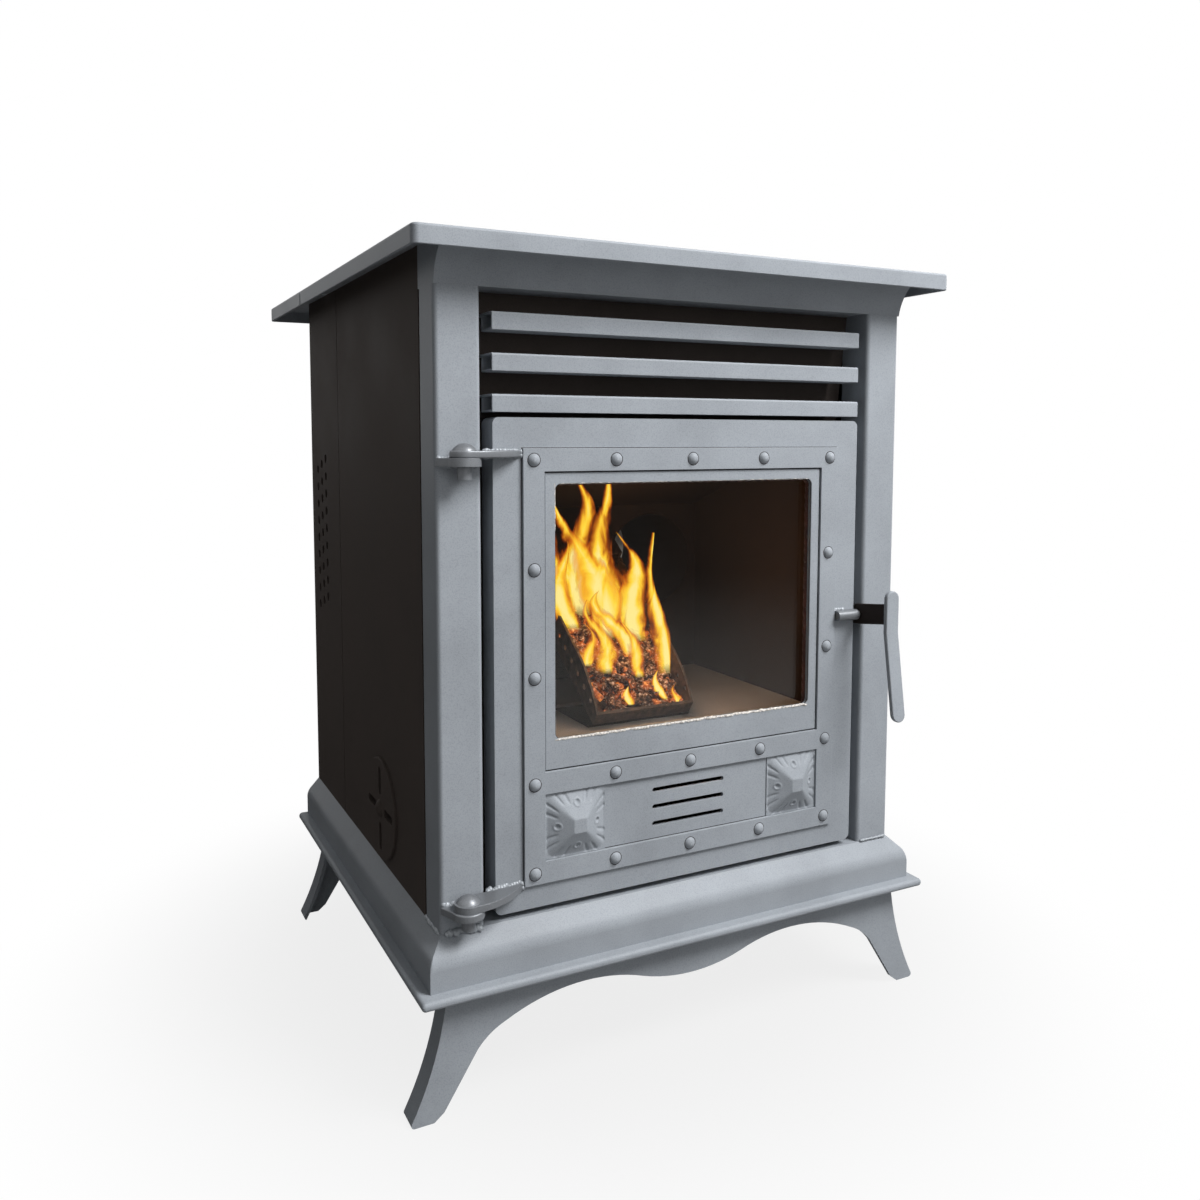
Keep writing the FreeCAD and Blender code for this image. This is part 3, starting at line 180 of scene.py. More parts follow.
def heat_proof_paint(name, colour, metallic, roughness, gloss, texture):
    """Sprayed silicone stove paint: satin, with fine aluminium grain and slow cloudy drift of its tone."""
    material, tree, output = blank(name)
    place = add(tree, "ShaderNodeTexCoord").outputs["Object"]
    # Clouds are about 90 mm wide, orange peel 1.6 mm, and grain 0.5 mm drawn at 0.9 mm so that it shows
    clouds = add(tree, "ShaderNodeTexNoise", {"Scale": 11.0, "Detail": 5.0, "Roughness": 0.6}, Vector=place)
    grain = add(tree, "ShaderNodeTexNoise", {"Scale": 1100.0, "Detail": 2.0, "Roughness": 0.7}, Vector=place)
    peel = add(tree, "ShaderNodeTexNoise", {"Scale": 620.0, "Detail": 3.0, "Roughness": 0.5}, Vector=place)
    tone = ramp(tree, clouds.outputs["Fac"], [(0.25, shade(colour, 0.86)), (0.5, colour),
                                              (0.8, shade(colour, 1.12))])
    speck = ramp(tree, grain.outputs["Fac"], [(0.3, shade(WHITE, 0.8)), (0.52, WHITE)])
    mixed = add(tree, "ShaderNodeMix", {"data_type": "RGBA", "blend_type": "MULTIPLY", 0: 1.0},
                i6=tone, i7=speck)
    rough = add(tree, "ShaderNodeMapRange", {"From Min": 0.25, "From Max": 0.8, "To Min": roughness - 0.06,
                                             "To Max": roughness + 0.08}, Value=clouds.outputs["Fac"])
    bump = add(tree, "ShaderNodeBump", {"Strength": texture, "Distance": 0.0003}, Height=peel.outputs["Fac"])
    shader = add(tree, "ShaderNodeBsdfPrincipled", {"Metallic": metallic, "Specular IOR Level": gloss},
                 Roughness=rough.outputs["Result"], Normal=bump.outputs["Normal"])
    tree.links.new(mixed.outputs[2], shader.inputs["Base Color"])
    tree.links.new(shader.outputs[0], output.inputs["Surface"])
    return material


def scaled_iron():
    """Burner plate browned and flaked by heat: rough, dull, with rusty patches."""
    material, tree, output = blank("scaled burner iron")
    place = add(tree, "ShaderNodeTexCoord").outputs["Object"]
    # Scale flakes are about 8 mm across
    flakes = add(tree, "ShaderNodeTexNoise", {"Scale": 125.0, "Detail": 6.0, "Roughness": 0.65}, Vector=place)
    tone = ramp(tree, flakes.outputs["Fac"], [(0.3, linear("#33291f")), (0.55, linear("#584a40")),
                                              (0.75, linear("#7b5f4a"))])
    bump = add(tree, "ShaderNodeBump", {"Strength": 0.4, "Distance": 0.0006}, Height=flakes.outputs["Fac"])
    shader = add(tree, "ShaderNodeBsdfPrincipled", {"Metallic": 0.45, "Roughness": 0.6},
                 Normal=bump.outputs["Normal"])
    tree.links.new(tone, shader.inputs["Base Color"])
    tree.links.new(shader.outputs[0], output.inputs["Surface"])
    return material


def plain_steel():
    """Cold-rolled steel sheet: grey metal with faint rolling lines and a few dull stains."""
    material, tree, output = blank("cold-rolled steel")
    place = add(tree, "ShaderNodeTexCoord").outputs["Object"]
    # Rolling lines run along X and are 2 mm apart; stains are about 40 mm wide
    stretch = add(tree, "ShaderNodeMapping", {"Scale": (6.0, 500.0, 500.0)}, Vector=place)
    lines = add(tree, "ShaderNodeTexNoise", {"Scale": 1.0, "Detail": 3.0}, Vector=stretch.outputs["Vector"])
    stains = add(tree, "ShaderNodeTexNoise", {"Scale": 25.0, "Detail": 4.0}, Vector=place)
    tone = ramp(tree, stains.outputs["Fac"], [(0.3, linear("#6f6d6a")), (0.7, linear("#a19f9b"))])
    rough = add(tree, "ShaderNodeMapRange", {"To Min": 0.28, "To Max": 0.5}, Value=lines.outputs["Fac"])
    bump = add(tree, "ShaderNodeBump", {"Strength": 0.08, "Distance": 0.0002}, Height=lines.outputs["Fac"])
    shader = add(tree, "ShaderNodeBsdfPrincipled", {"Metallic": 1.0}, Roughness=rough.outputs["Result"],
                 Normal=bump.outputs["Normal"])
    tree.links.new(tone, shader.inputs["Base Color"])
    tree.links.new(shader.outputs[0], output.inputs["Surface"])
    return material


def stove_glass():
    """Clear glass-ceramic pane: smooth, with a faint amber body."""
    material, tree, output = blank("glass-ceramic pane")
    shader = add(tree, "ShaderNodeBsdfPrincipled", {
        "Base Color": linear("#f4ebe2"), "Transmission Weight": 1.0, "IOR": 1.5, "Roughness": 0.0})
    tree.links.new(shader.outputs[0], output.inputs["Surface"])
    return material


def glass_fibre_rope(colour):
    """Twisted glass-fibre sealing rope, browned by heat: dull, with fine loose fibres."""
    material, tree, output = blank("glass-fibre rope")
    place = add(tree, "ShaderNodeTexCoord").outputs["Object"]
    # Fibres are drawn 1.2 mm wide so that they show; browned patches are about 17 mm across
    fibre = add(tree, "ShaderNodeTexNoise", {"Scale": 830.0, "Detail": 4.0, "Roughness": 0.7}, Vector=place)
    patch = add(tree, "ShaderNodeTexNoise", {"Scale": 60.0, "Detail": 2.0}, Vector=place)
    tone = ramp(tree, patch.outputs["Fac"], [(0.3, shade(colour, 0.5)), (0.55, colour),
                                             (0.8, shade(colour, 1.7))])
    bare = ramp(tree, fibre.outputs["Fac"], [(0.60, BLACK), (0.68, WHITE)])
    mixed = add(tree, "ShaderNodeMix", {"data_type": "RGBA", 7: linear("#a9978b")}, i0=bare, i6=tone)
    bump = add(tree, "ShaderNodeBump", {"Strength": 0.6, "Distance": 0.0008}, Height=fibre.outputs["Fac"])
    shader = add(tree, "ShaderNodeBsdfPrincipled", {"Roughness": 0.9, "Sheen Weight": 0.2},
                 Normal=bump.outputs["Normal"])
    tree.links.new(mixed.outputs[2], shader.inputs["Base Color"])
    tree.links.new(shader.outputs[0], output.inputs["Surface"])
    return material


def burning_pellets():
    """Pressed wood pellets, charred black and ash grey, glowing orange where they burn."""
    material, tree, output = blank("burning wood pellets")
    place = add(tree, "ShaderNodeTexCoord").outputs["Object"]
    # Glowing patches are about 18 mm across, ash flecks 3 mm
    heat = add(tree, "ShaderNodeTexNoise", {"Scale": 55.0, "Detail": 3.0, "Roughness": 0.6}, Vector=place)
    ash = add(tree, "ShaderNodeTexNoise", {"Scale": 330.0, "Detail": 3.0}, Vector=place)
    tone = ramp(tree, ash.outputs["Fac"], [(0.38, linear("#2a1d17")), (0.54, linear("#6b4a35")),
                                           (0.7, linear("#cfc2b4"))])
    glow = ramp(tree, heat.outputs["Fac"], [(0.5, BLACK), (0.6, linear("#a8501a")),
                                            (0.72, linear("#ffb04a"))])
    shader = add(tree, "ShaderNodeBsdfPrincipled", {"Roughness": 0.85, "Emission Strength": 1.2})
    tree.links.new(tone, shader.inputs["Base Color"])
    tree.links.new(glow, shader.inputs["Emission Color"])
    tree.links.new(shader.outputs[0], output.inputs["Surface"])
    return material


def flame_light():
    """Burning gas: pale yellow heart, orange skirt, clear at its ragged edge."""
    material, tree, output = blank("flame")
    coords = add(tree, "ShaderNodeTexCoord")
    split = add(tree, "ShaderNodeSeparateXYZ", Vector=coords.outputs["UV"])
    # Licks are about 18 mm wide and drawn out upwards
    stretch = add(tree, "ShaderNodeMapping", {"Scale": (55.0, 55.0, 22.0)}, Vector=coords.outputs["Object"])
    licks = add(tree, "ShaderNodeTexNoise", {"Scale": 1.0, "Detail": 3.0, "Distortion": 0.8},
                Vector=stretch.outputs["Vector"])
    side = add(tree, "ShaderNodeMath", {"operation": "SUBTRACT", 1: 0.5}, i0=split.outputs["X"])
    side = add(tree, "ShaderNodeMath", {"operation": "ABSOLUTE"}, i0=side.outputs[0])
    side = add(tree, "ShaderNodeMapRange", {"From Min": 0.5, "From Max": 0.0, "To Max": 1.1},
               Value=side.outputs[0])
    ragged = add(tree, "ShaderNodeMath", {"operation": "MULTIPLY_ADD", 1: 1.5, 2: -0.75},
                 i0=licks.outputs["Fac"])
    body = add(tree, "ShaderNodeMath", {"operation": "ADD"}, i0=side.outputs[0], i1=ragged.outputs[0])
    cooling = add(tree, "ShaderNodeMath", {"operation": "MULTIPLY", 1: -0.45}, i0=split.outputs["Y"])
    heat = add(tree, "ShaderNodeMath", {"operation": "ADD", "use_clamp": True}, i0=body.outputs[0],
               i1=cooling.outputs[0])
    colour = ramp(tree, heat.outputs[0], [(0.12, linear("#7a2408")), (0.32, linear("#dd6d16")),
                                          (0.52, linear("#f8b62c")), (0.72, linear("#ffe045")),
                                          (0.95, linear("#fff29a"))])
    cover = add(tree, "ShaderNodeMapRange", {"From Min": 0.1, "From Max": 0.6}, Value=heat.outputs[0])
    root = add(tree, "ShaderNodeMapRange", {"From Min": 0.0, "From Max": 0.08}, Value=split.outputs["Y"])
    cover = add(tree, "ShaderNodeMath", {"operation": "MULTIPLY"}, i0=cover.outputs[0], i1=root.outputs[0])
    shader = add(tree, "ShaderNodeBsdfPrincipled", {"Base Color": BLACK, "Roughness": 1.0,
                                                    "Specular IOR Level": 0.0, "Emission Strength": 1.2},
                 Alpha=cover.outputs[0])
    tree.links.new(colour, shader.inputs["Emission Color"])
    tree.links.new(shader.outputs[0], output.inputs["Surface"])
    return material


def fire_sealant():
    """Pale fire sealant squeezed out along the window: dull and chalky."""
    material, tree, output = blank("fire sealant")
    place = add(tree, "ShaderNodeTexCoord").outputs["Object"]
    # Crumbs are about 2 mm across
    crumbs = add(tree, "ShaderNodeTexNoise", {"Scale": 500.0, "Detail": 3.0}, Vector=place)
    tone = ramp(tree, crumbs.outputs["Fac"], [(0.35, linear("#8a8682")), (0.6, linear("#cfcbc5"))])
    shader = add(tree, "ShaderNodeBsdfPrincipled", {"Roughness": 0.85})
    tree.links.new(tone, shader.inputs["Base Color"])
    tree.links.new(shader.outputs[0], output.inputs["Surface"])
    return material


# Each paint: material name, metallic, roughness, gloss and strength of its orange peel
PAINTS = {
    "paint": ("satin grey stove paint", 0.0, 0.4, 0.1, 0.1),
    # The jacket paint is darker than the front paint as painted shade of the side and rear sheets
    "jacket": ("satin dark stove paint", 0.0, 0.55, 0.02, 0.1),
    "dark": ("matt black stove paint", 0.0, 0.7, 0.1, 0.02),
    "hardware": ("worn hardware paint", 0.35, 0.38, 0.4, 0.1),
    # The weld paint's lighter colour is a painted highlight on the beads
    "weld": ("painted weld", 0.15, 0.4, 0.25, 0.3),
}
FINISHES = {}


def finish_of(name):
    """Material by its short name, made once."""
    if not FINISHES:
        looks = bpy.context.scene.stove_finish
        for key, (title, metallic, roughness, gloss, texture) in PAINTS.items():
            colour = list(getattr(looks, key))
            FINISHES[key] = heat_proof_paint(title, colour, metallic, roughness, gloss, texture)
        FINISHES["iron"] = scaled_iron()
        FINISHES["steel"] = plain_steel()
        FINISHES["glass"] = stove_glass()
        FINISHES["rope"] = glass_fibre_rope(list(looks.rope))
        FINISHES["pellets"] = burning_pellets()
        FINISHES["flame"] = flame_light()
        FINISHES["sealant"] = fire_sealant()
    return FINISHES[name]


# These nodes take the darker jacket paint, which is partly painted shade of the stove's side
JACKET_NODES = ("left_side_panel", "right_side_panel", "left_rear_jacket", "right_rear_jacket", "back_panel",
                "regulator_disc", "regulator_rivet", "louvre_back")
HARDWARE_NODES = ("upper_fixed_lug", "lower_fixed_lug", "upper_door_lug", "lower_door_lug", "upper_hinge_pin",
                  "lower_hinge_pin", "handle_bush")
FINISH_OF_SLOT = {"grey_paint": "paint", "dark_paint": "dark", "basket_iron": "iron", "raw_steel": "steel",
                  "pane": "glass", "rope": "rope"}


def node_finish(node):
    """Short finish name of a CAD node."""
    # Soot blackens the flue's inside
    if node == "flue_tube":
        return "dark"
    if node in HARDWARE_NODES:
        return "hardware"
    return "jacket" if node in JACKET_NODES else FINISH_OF_SLOT[SLOT_OF[node]]


def piece(name, bm, body, finish, sharp_degrees=40):
    """Finished object from a bmesh, riding on a body."""
    mesh = bpy.data.meshes.new(name)
    bm.to_mesh(mesh)
    bm.free()
    mesh.shade_smooth()
    mesh.set_sharp_from_angle(angle=math.radians(sharp_degrees))
    obj = bpy.data.objects.new(name, mesh)
    bpy.context.scene.collection.objects.link(obj)
    mesh.materials.append(finish_of(finish))
    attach(obj, body)
    return obj


# Reach within which a CAD mesh's loose triangles are joined, and angles of flat and of sharp edges
JOIN_REACH = 1e-6
FLAT_ANGLE = math.radians(1)
SHARP_ANGLE = math.radians(38)


def softened(node, width, segments=2):
    """Copy of a CAD node with its sharp edges rounded."""
    bm = bmesh.new()
    bm.from_mesh(NODES[node].data)
    bmesh.ops.remove_doubles(bm, verts=bm.verts, dist=JOIN_REACH)
    bmesh.ops.dissolve_limit(bm, angle_limit=FLAT_ANGLE, verts=bm.verts, edges=bm.edges)
    sharp = [e for e in bm.edges if len(e.link_faces) == 2 and e.calc_face_angle(0) > SHARP_ANGLE]
    bmesh.ops.bevel(bm, geom=sharp, offset=width, offset_type="OFFSET", segments=segments, profile=0.5,
                    affect="EDGES", clamp_overlap=True, material=-1)
    return bm


# Rounding of each piece's edges as a share of the edge softness
SOFT_NODES = {
    "top_plate": 1, "hopper_lid": 1, "lower_slat": 1, "middle_slat": 1, "upper_slat": 1, "trim_ladder": 0.5,
    "window_bezel": 0.6, "front_legs": 1, "rear_legs": 1, "latch_plate": 0.6, "handle_grip": 1.5,
    "upper_fixed_lug": 1.5, "lower_fixed_lug": 1.5, "upper_door_lug": 1.5, "lower_door_lug": 1.5,
    "handle_bush": 0.6, "door_leaf": 2, "base_plate": 1}


class STOVE_OT_soften(bpy.types.Operator):
    """Give the visible sheets and bars soft edges"""
    bl_idname = "stove.soften"
    bl_label = "Soften Sheet Edges"

    def execute(self, context):
        width = context.scene.stove_detail.edge
        for node, share in SOFT_NODES.items():
            obj = piece(node + "_soft", softened(node, width * share), BODY_OF[node], node_finish(node))
            even = obj.modifiers.new("even_shading", "WEIGHTED_NORMAL")
            even.keep_sharp = True
            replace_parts(obj, node)
        return {"FINISHED"}


class STOVE_OT_paint(bpy.types.Operator):
    """Give every CAD node that shows its finish"""
    bl_idname = "stove.paint"
    bl_label = "Paint Nodes"

    def execute(self, context):
        for node, obj in NODES.items():
            obj.data.materials.clear()
            obj.data.materials.append(finish_of(node_finish(node)))
        return {"FINISHED"}


# Drops of a bead: size by its radius, then how far they stand out, length and width by that size
DROP_SIZE = (0.7, 1.2)
DROP_STAND = (0.5, 0.8)
DROP_LENGTH = 1.1
DROP_WIDTH = 1.05


def bead(bm, start, end, radius, lean, seed, wander=0.25, pitch=0.8):
    """Row of overlapping flattened drops from start to end, standing out along lean."""
    rng = random.Random(seed)
    run = end - start
    count = max(2, round(run.length / (radius * pitch)))
    along = run.normalized()
    out = lean.normalized()
    across = along.cross(out)
    turn = Matrix((along, out, across)).transposed().to_4x4()
    for index in range(count):
        place = start + run * ((index + 0.5) / count) + across * (rng.uniform(-wander, wander) * radius)
        size = radius * rng.uniform(*DROP_SIZE)
        shape = Matrix.Diagonal((size * pitch * DROP_LENGTH, size * rng.uniform(*DROP_STAND),
                                 size * DROP_WIDTH, 1))
        bmesh.ops.create_icosphere(bm, subdivisions=2, radius=1,
                                   matrix=Matrix.Translation(place) @ turn @ shape)


# Ways that a bead can stand out from a sheet's front
UP_OUT = Vector((0, -1, 1))
DOWN_OUT = Vector((0, -1, -1))
LEFT_OUT = Vector((-1, -1, 0))
RIGHT_OUT = Vector((1, -1, 0))

# Each post: its outer side, and size and wander of the bead at its foot, which is coarse under the hinge
POST_WELDS = (("left_post", -1, 1.15, 0.5), ("right_post", 1, 0.45, 0.1))
POST_CORNER = 4 * MM
POST_FILLET = Vector((0, -1.2 * MM, 1.5 * MM))
# Each lug and the size of its upper bead
FIXED_LUG_WELDS = (("upper_fixed_lug", 0.7), ("lower_fixed_lug", 1.2))
FIXED_LUG_WELD_START = 2 * MM
FIXED_LUG_WELD_END = 24 * MM
FIXED_LUG_ROUND = 3 * MM
DOOR_LUG_WELDS = (("upper_door_lug", 0.6), ("lower_door_lug", 1.0))
DOOR_LUG_ARM = 34 * MM
ROSETTE_TACK = 6 * MM


def body_welds(radius):
    """Beads round the feet of the posts and along the fixed lugs."""
    bm = bmesh.new()
    inset = Vector((POST_CORNER, 0, 0))
    for node, way, size, wander in POST_WELDS:
        low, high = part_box(node)
        outer = low.x if way < 0 else high.x
        bead(bm, low + inset + POST_FILLET, Vector((high.x, low.y, low.z)) - inset + POST_FILLET, radius * size,
             Vector((0, -1, 0.8)), node, wander)
        bead(bm, Vector((outer, low.y + POST_CORNER, low.z)), Vector((outer, high.y, low.z)), radius * 0.8,
             Vector((way, 0, 0.6)), node + "_side")
    for node, size in FIXED_LUG_WELDS:
        low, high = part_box(node)
        bead(bm, Vector((low.x + FIXED_LUG_WELD_START, high.y, high.z)),
             Vector((low.x + FIXED_LUG_WELD_END, high.y, high.z)), radius * size, UP_OUT, node, 0.7)
        bead(bm, Vector((low.x + FIXED_LUG_ROUND, high.y, low.z)),
             Vector((high.x - FIXED_LUG_ROUND, high.y, low.z)), radius * 0.7, DOWN_OUT, node + "_under")
    return bm


def door_welds(radius):
    """Beads round the door's lugs, on the handle bush and at the rosettes' outer corners."""
    bm = bmesh.new()
    for node, size in DOOR_LUG_WELDS:
        low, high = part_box(node)
        start = low.x + DOOR_LUG_ARM
        bead(bm, Vector((start, high.y, high.z)), high, radius * size, UP_OUT, node, 0.6)
        tip = Vector((high.x, high.y, low.z))
        bead(bm, Vector((start, high.y, low.z)), tip, radius * 0.6, DOWN_OUT, node + "_under")
        bead(bm, tip, high, radius, RIGHT_OUT, node + "_tip")
    low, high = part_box("handle_bush")
    corner = Vector((low.x, high.y, high.z))
    bead(bm, corner, Vector(((low.x + high.x) / 2, high.y, high.z)), radius, UP_OUT, "bush", 0.6)
    bead(bm, Vector((low.x, high.y, low.z)), corner, radius, LEFT_OUT, "bush_end")
    for node, lean in (("left_rosette", LEFT_OUT), ("right_rosette", RIGHT_OUT)):
        low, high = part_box(node)
        corner = Vector((low.x if lean.x < 0 else high.x, high.y, high.z))
        bead(bm, corner, corner - Vector((0, 0, ROSETTE_TACK)), radius * 0.5, lean, node)
    return bm


class STOVE_OT_welds(bpy.types.Operator):
    """Weld beads at the posts, lugs, handle bush and rosettes"""
    bl_idname = "stove.welds"
    bl_label = "Weld Beads"

    def execute(self, context):
        radius = context.scene.stove_detail.weld
        piece("body_welds", body_welds(radius), "stove_body", "weld", sharp_degrees=80)
        piece("door_welds", door_welds(radius), "door", "weld", sharp_degrees=80)
        return {"FINISHED"}


# Flat top, foot of the slopes and middle of a dimple, as shares of the stamping's half width
ROSETTE_TOP = 0.21
ROSETTE_FOOT = 0.94
ROSETTE_DIMPLE = 0.66
# Sharpness of the hips between the slopes, hollow of a slope, and rim by the stamping's height
ROSETTE_HIP = 9
ROSETTE_HOLLOW = 1.05
ROSETTE_RIM = 0.08
ROSETTE_CELLS = 120
# Flutes: places across the fan, width, depth, start, and the lengths over which they begin and end
FLUTES = (-0.72, -0.4, 0.4, 0.72)
FLUTE_WIDTH = 0.06
FLUTE_DEPTH = 0.075
FLUTE_START = 0.6
FLUTE_RUN_IN = 0.12
FLUTE_RUN_OUT = 0.05
# Dimple: height, radius and width of its ring, then depth and width of its pit
DIMPLE_RING = (0.045, 0.1, 0.03)
DIMPLE_PIT = (0.11, 0.06)


def held(value):
    """Value kept between 0 and 1."""
    return min(1, max(0, value))


def hump(distance, width):
    """Smooth hump, 1 high in its middle."""
    return math.exp(-(distance / width) ** 2)


def rosette_lift(u, v):
    """Height share of the stamping at a place given from -1 to 1 each way."""
    far, across = (abs(u), v) if abs(u) >= abs(v) else (abs(v), u)
    reach = (abs(u) ** ROSETTE_HIP + abs(v) ** ROSETTE_HIP) ** (1 / ROSETTE_HIP)
    slope = held((ROSETTE_FOOT - reach) / (ROSETTE_FOOT - ROSETTE_TOP)) ** ROSETTE_HOLLOW
    fan = across / max(far, 0.05)
    fluted = held((far - FLUTE_START) / FLUTE_RUN_IN) * held((1 - far) / FLUTE_RUN_OUT)
    flutes = sum(hump(fan - place, FLUTE_WIDTH) for place in FLUTES)
    pit = math.hypot(across, far - ROSETTE_DIMPLE)
    ring_height, ring_radius, ring_width = DIMPLE_RING
    pit_depth, pit_width = DIMPLE_PIT
    dimple = ring_height * hump(pit - ring_radius, ring_width) - pit_depth * hump(pit, pit_width)
    return ROSETTE_RIM + (1 - ROSETTE_RIM) * slope - FLUTE_DEPTH * flutes * fluted + dimple


def stamped_rosette(node):
    """Square stamping: four slopes with fanned flutes and a dimple each, rising to a small flat top."""
    low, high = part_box(node)
    half = (high.x - low.x) / 2
    height = high.y - low.y
    centre = Vector(((low.x + high.x) / 2, high.y, (low.z + high.z) / 2))
    bm = bmesh.new()
    bmesh.ops.create_grid(bm, x_segments=ROSETTE_CELLS, y_segments=ROSETTE_CELLS, size=half)
    for vert in bm.verts:
        vert.co.z = held(rosette_lift(vert.co.x / half, vert.co.y / half)) * height
    rim = [e for e in bm.edges if e.is_boundary]
    wall = bmesh.ops.extrude_edge_only(bm, edges=rim)["geom"]
    for vert in (g for g in wall if isinstance(g, bmesh.types.BMVert)):
        vert.co.z = 0
    bmesh.ops.contextual_create(bm, geom=[e for e in bm.edges if e.is_boundary])
    turn = Matrix.Translation(centre) @ Matrix.Rotation(math.radians(90), 4, "X")
    bmesh.ops.transform(bm, matrix=turn, verts=bm.verts)
    bmesh.ops.recalc_face_normals(bm, faces=bm.faces)
    return bm


class STOVE_OT_rosettes(bpy.types.Operator):
    """Stamped rosettes on the door's lower panel"""
    bl_idname = "stove.rosettes"
    bl_label = "Rosettes"

    def execute(self, context):
        for node in ("left_rosette", "right_rosette"):
            obj = piece(node + "_stamping", stamped_rosette(node), "door", "paint",
                        sharp_degrees=55)
            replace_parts(obj, node)
        return {"FINISHED"}


# Steps round a rope's corner, sides of each strand, and depth of the groove between strands
CORNER_STEPS = 6
STRAND_SIDES = 5
STRAND_GROOVE = 0.14


def ring_path(half_x, low_z, high_z, y, radius, step):
    """Points round a rectangle with rounded corners, in the plane of the door."""
    middle = (low_z + high_z) / 2
    half_z = (high_z - low_z) / 2
    places = []
    corners = [(1, 1, 0), (-1, 1, 90), (-1, -1, 180), (1, -1, 270)]
    for sx, sz, start in corners:
        cx, cz = sx * (half_x - radius), middle + sz * (half_z - radius)
        for index in range(CORNER_STEPS + 1):
            turn = math.radians(start + 90 * index / CORNER_STEPS)
            places.append(Vector((cx + radius * math.cos(turn), y, cz + radius * math.sin(turn))))
    points = []
    for a, b in zip(places, places[1:] + places[:1]):
        count = max(1, round((b - a).length / step))
        points += [a.lerp(b, i / count) for i in range(count)]
    return points


def twisted_rope(points, width, depth, lobes, pitch):
    """Closed rope round points: a lobed section that turns as it goes along."""
    bm = bmesh.new()
    sides = lobes * STRAND_SIDES
    rings = []
    travelled = 0
    total = sum((b - a).length for a, b in zip(points, points[1:] + points[:1]))
    turns = round(total / pitch)
    for index, point in enumerate(points):
        ahead = points[(index + 1) % len(points)]
        behind = points[index - 1]
        along = (ahead - behind).normalized()
        out = along.cross(Vector((0, 1, 0))).normalized()
        twist = 2 * math.pi * turns * travelled / total / lobes
        ring = []
        for k in range(sides):
            angle = 2 * math.pi * k / sides
            swell = 1 - STRAND_GROOVE + STRAND_GROOVE * abs(math.cos(lobes / 2 * (angle + twist)))
            place = point + out * (width / 2 * swell * math.cos(angle)) + Vector((0, depth / 2, 0)) * (
                swell * math.sin(angle))
            ring.append(bm.verts.new(place))
        rings.append([bm.edges.new((ring[k], ring[(k + 1) % sides])) for k in range(sides)])
        travelled += (ahead - point).length
    for a, b in zip(rings, rings[1:] + rings[:1]):
        bmesh.ops.bridge_loops(bm, edges=a + b)
    bmesh.ops.recalc_face_normals(bm, faces=bm.faces)
    return bm


# Each rope: node, width, sag of its lower run, corner radius, step, strands and their spacing along it.
# The pane's rope is squeezed a little way into the window
ROPES = (("glass_rope", 11 * MM, 3 * MM, 10 * MM, 2.5 * MM, 3, 9 * MM),
         ("door_rope", 11.4 * MM, 0, 8 * MM, 4 * MM, 4, 16 * MM))
# Height of the soot and painted shade in a joint over the sheet
JOINT_PROUD = 0.1 * MM


def joint_line(node, plane_y, way, width):
    """Thin strip of soot and painted shade round a piece's outline, half sunk in the sheet behind it."""
    bm = bmesh.new()
    bm.from_mesh(NODES[node].data)
    bmesh.ops.remove_doubles(bm, verts=bm.verts, dist=JOIN_REACH)
    flat = {f for f in bm.faces if f.normal.y * way > 0.99}
    bmesh.ops.delete(bm, geom=[f for f in bm.faces if f not in flat], context="FACES")
    ring = set(bmesh.ops.inset_region(bm, faces=bm.faces[:], use_boundary=True, use_even_offset=True,
                                      thickness=-width)["faces"])
    bmesh.ops.delete(bm, geom=[f for f in bm.faces if f not in ring], context="FACES")
    for vert in bm.verts:
        vert.co.y = plane_y - JOINT_PROUD
    sunk = bmesh.ops.extrude_face_region(bm, geom=bm.faces[:])["geom"]
    bmesh.ops.translate(bm, vec=(0, 2 * JOINT_PROUD, 0),
                        verts=[g for g in sunk if isinstance(g, bmesh.types.BMVert)])
    bmesh.ops.recalc_face_normals(bm, faces=bm.faces)
    return bm


class STOVE_OT_joint_lines(bpy.types.Operator):
    """Dark lines of soot and shade in the joints of the trim, bezel and rivets"""
    bl_idname = "stove.joint_lines"
    bl_label = "Joint Lines"

    def execute(self, context):
        width = context.scene.stove_detail.joint
        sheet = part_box("door_leaf")[0].y
        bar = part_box("trim_ladder")[0].y
        # These dark strips are painted shade of the gaps round the trim, bezel and rivets, as well as soot
        piece("trim_joint", joint_line("trim_ladder", sheet, 1, width), "door", "dark")
        piece("bezel_joint", joint_line("window_bezel", sheet, -1, width), "door", "dark")
        piece("rivet_joints", joint_line("trim_rivets", bar, 1, width), "door", "dark")
        return {"FINISHED"}


class STOVE_OT_ropes(bpy.types.Operator):
    """Twisted sealing ropes of the pane and the door"""
    bl_idname = "stove.ropes"
    bl_label = "Sealing Ropes"

    def execute(self, context):
        for node, width, sag, corner, step, lobes, pitch in ROPES:
            low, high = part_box(node)
            points = ring_path(high.x - width / 2, low.z + width / 2 - sag, high.z - width / 2,
                               (low.y + high.y) / 2, corner, step)
            rope = twisted_rope(points, width, high.y - low.y, lobes, pitch)
            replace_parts(piece(node + "_twist", rope, "door", "rope", sharp_degrees=180), node)
        return {"FINISHED"}


# Borders of the bezel round the window
BEZEL_SIDE = 9.5 * MM
BEZEL_FOOT = 26 * MM
# Sealant: how far behind the bezel's face it lies, its wander, bare corner at the head and length on the left
SEALANT_SINK = 0.6 * MM
SEALANT_WANDER = 0.4
SEALANT_GAP = 4 * MM
SEALANT_LEFT = 40 * MM


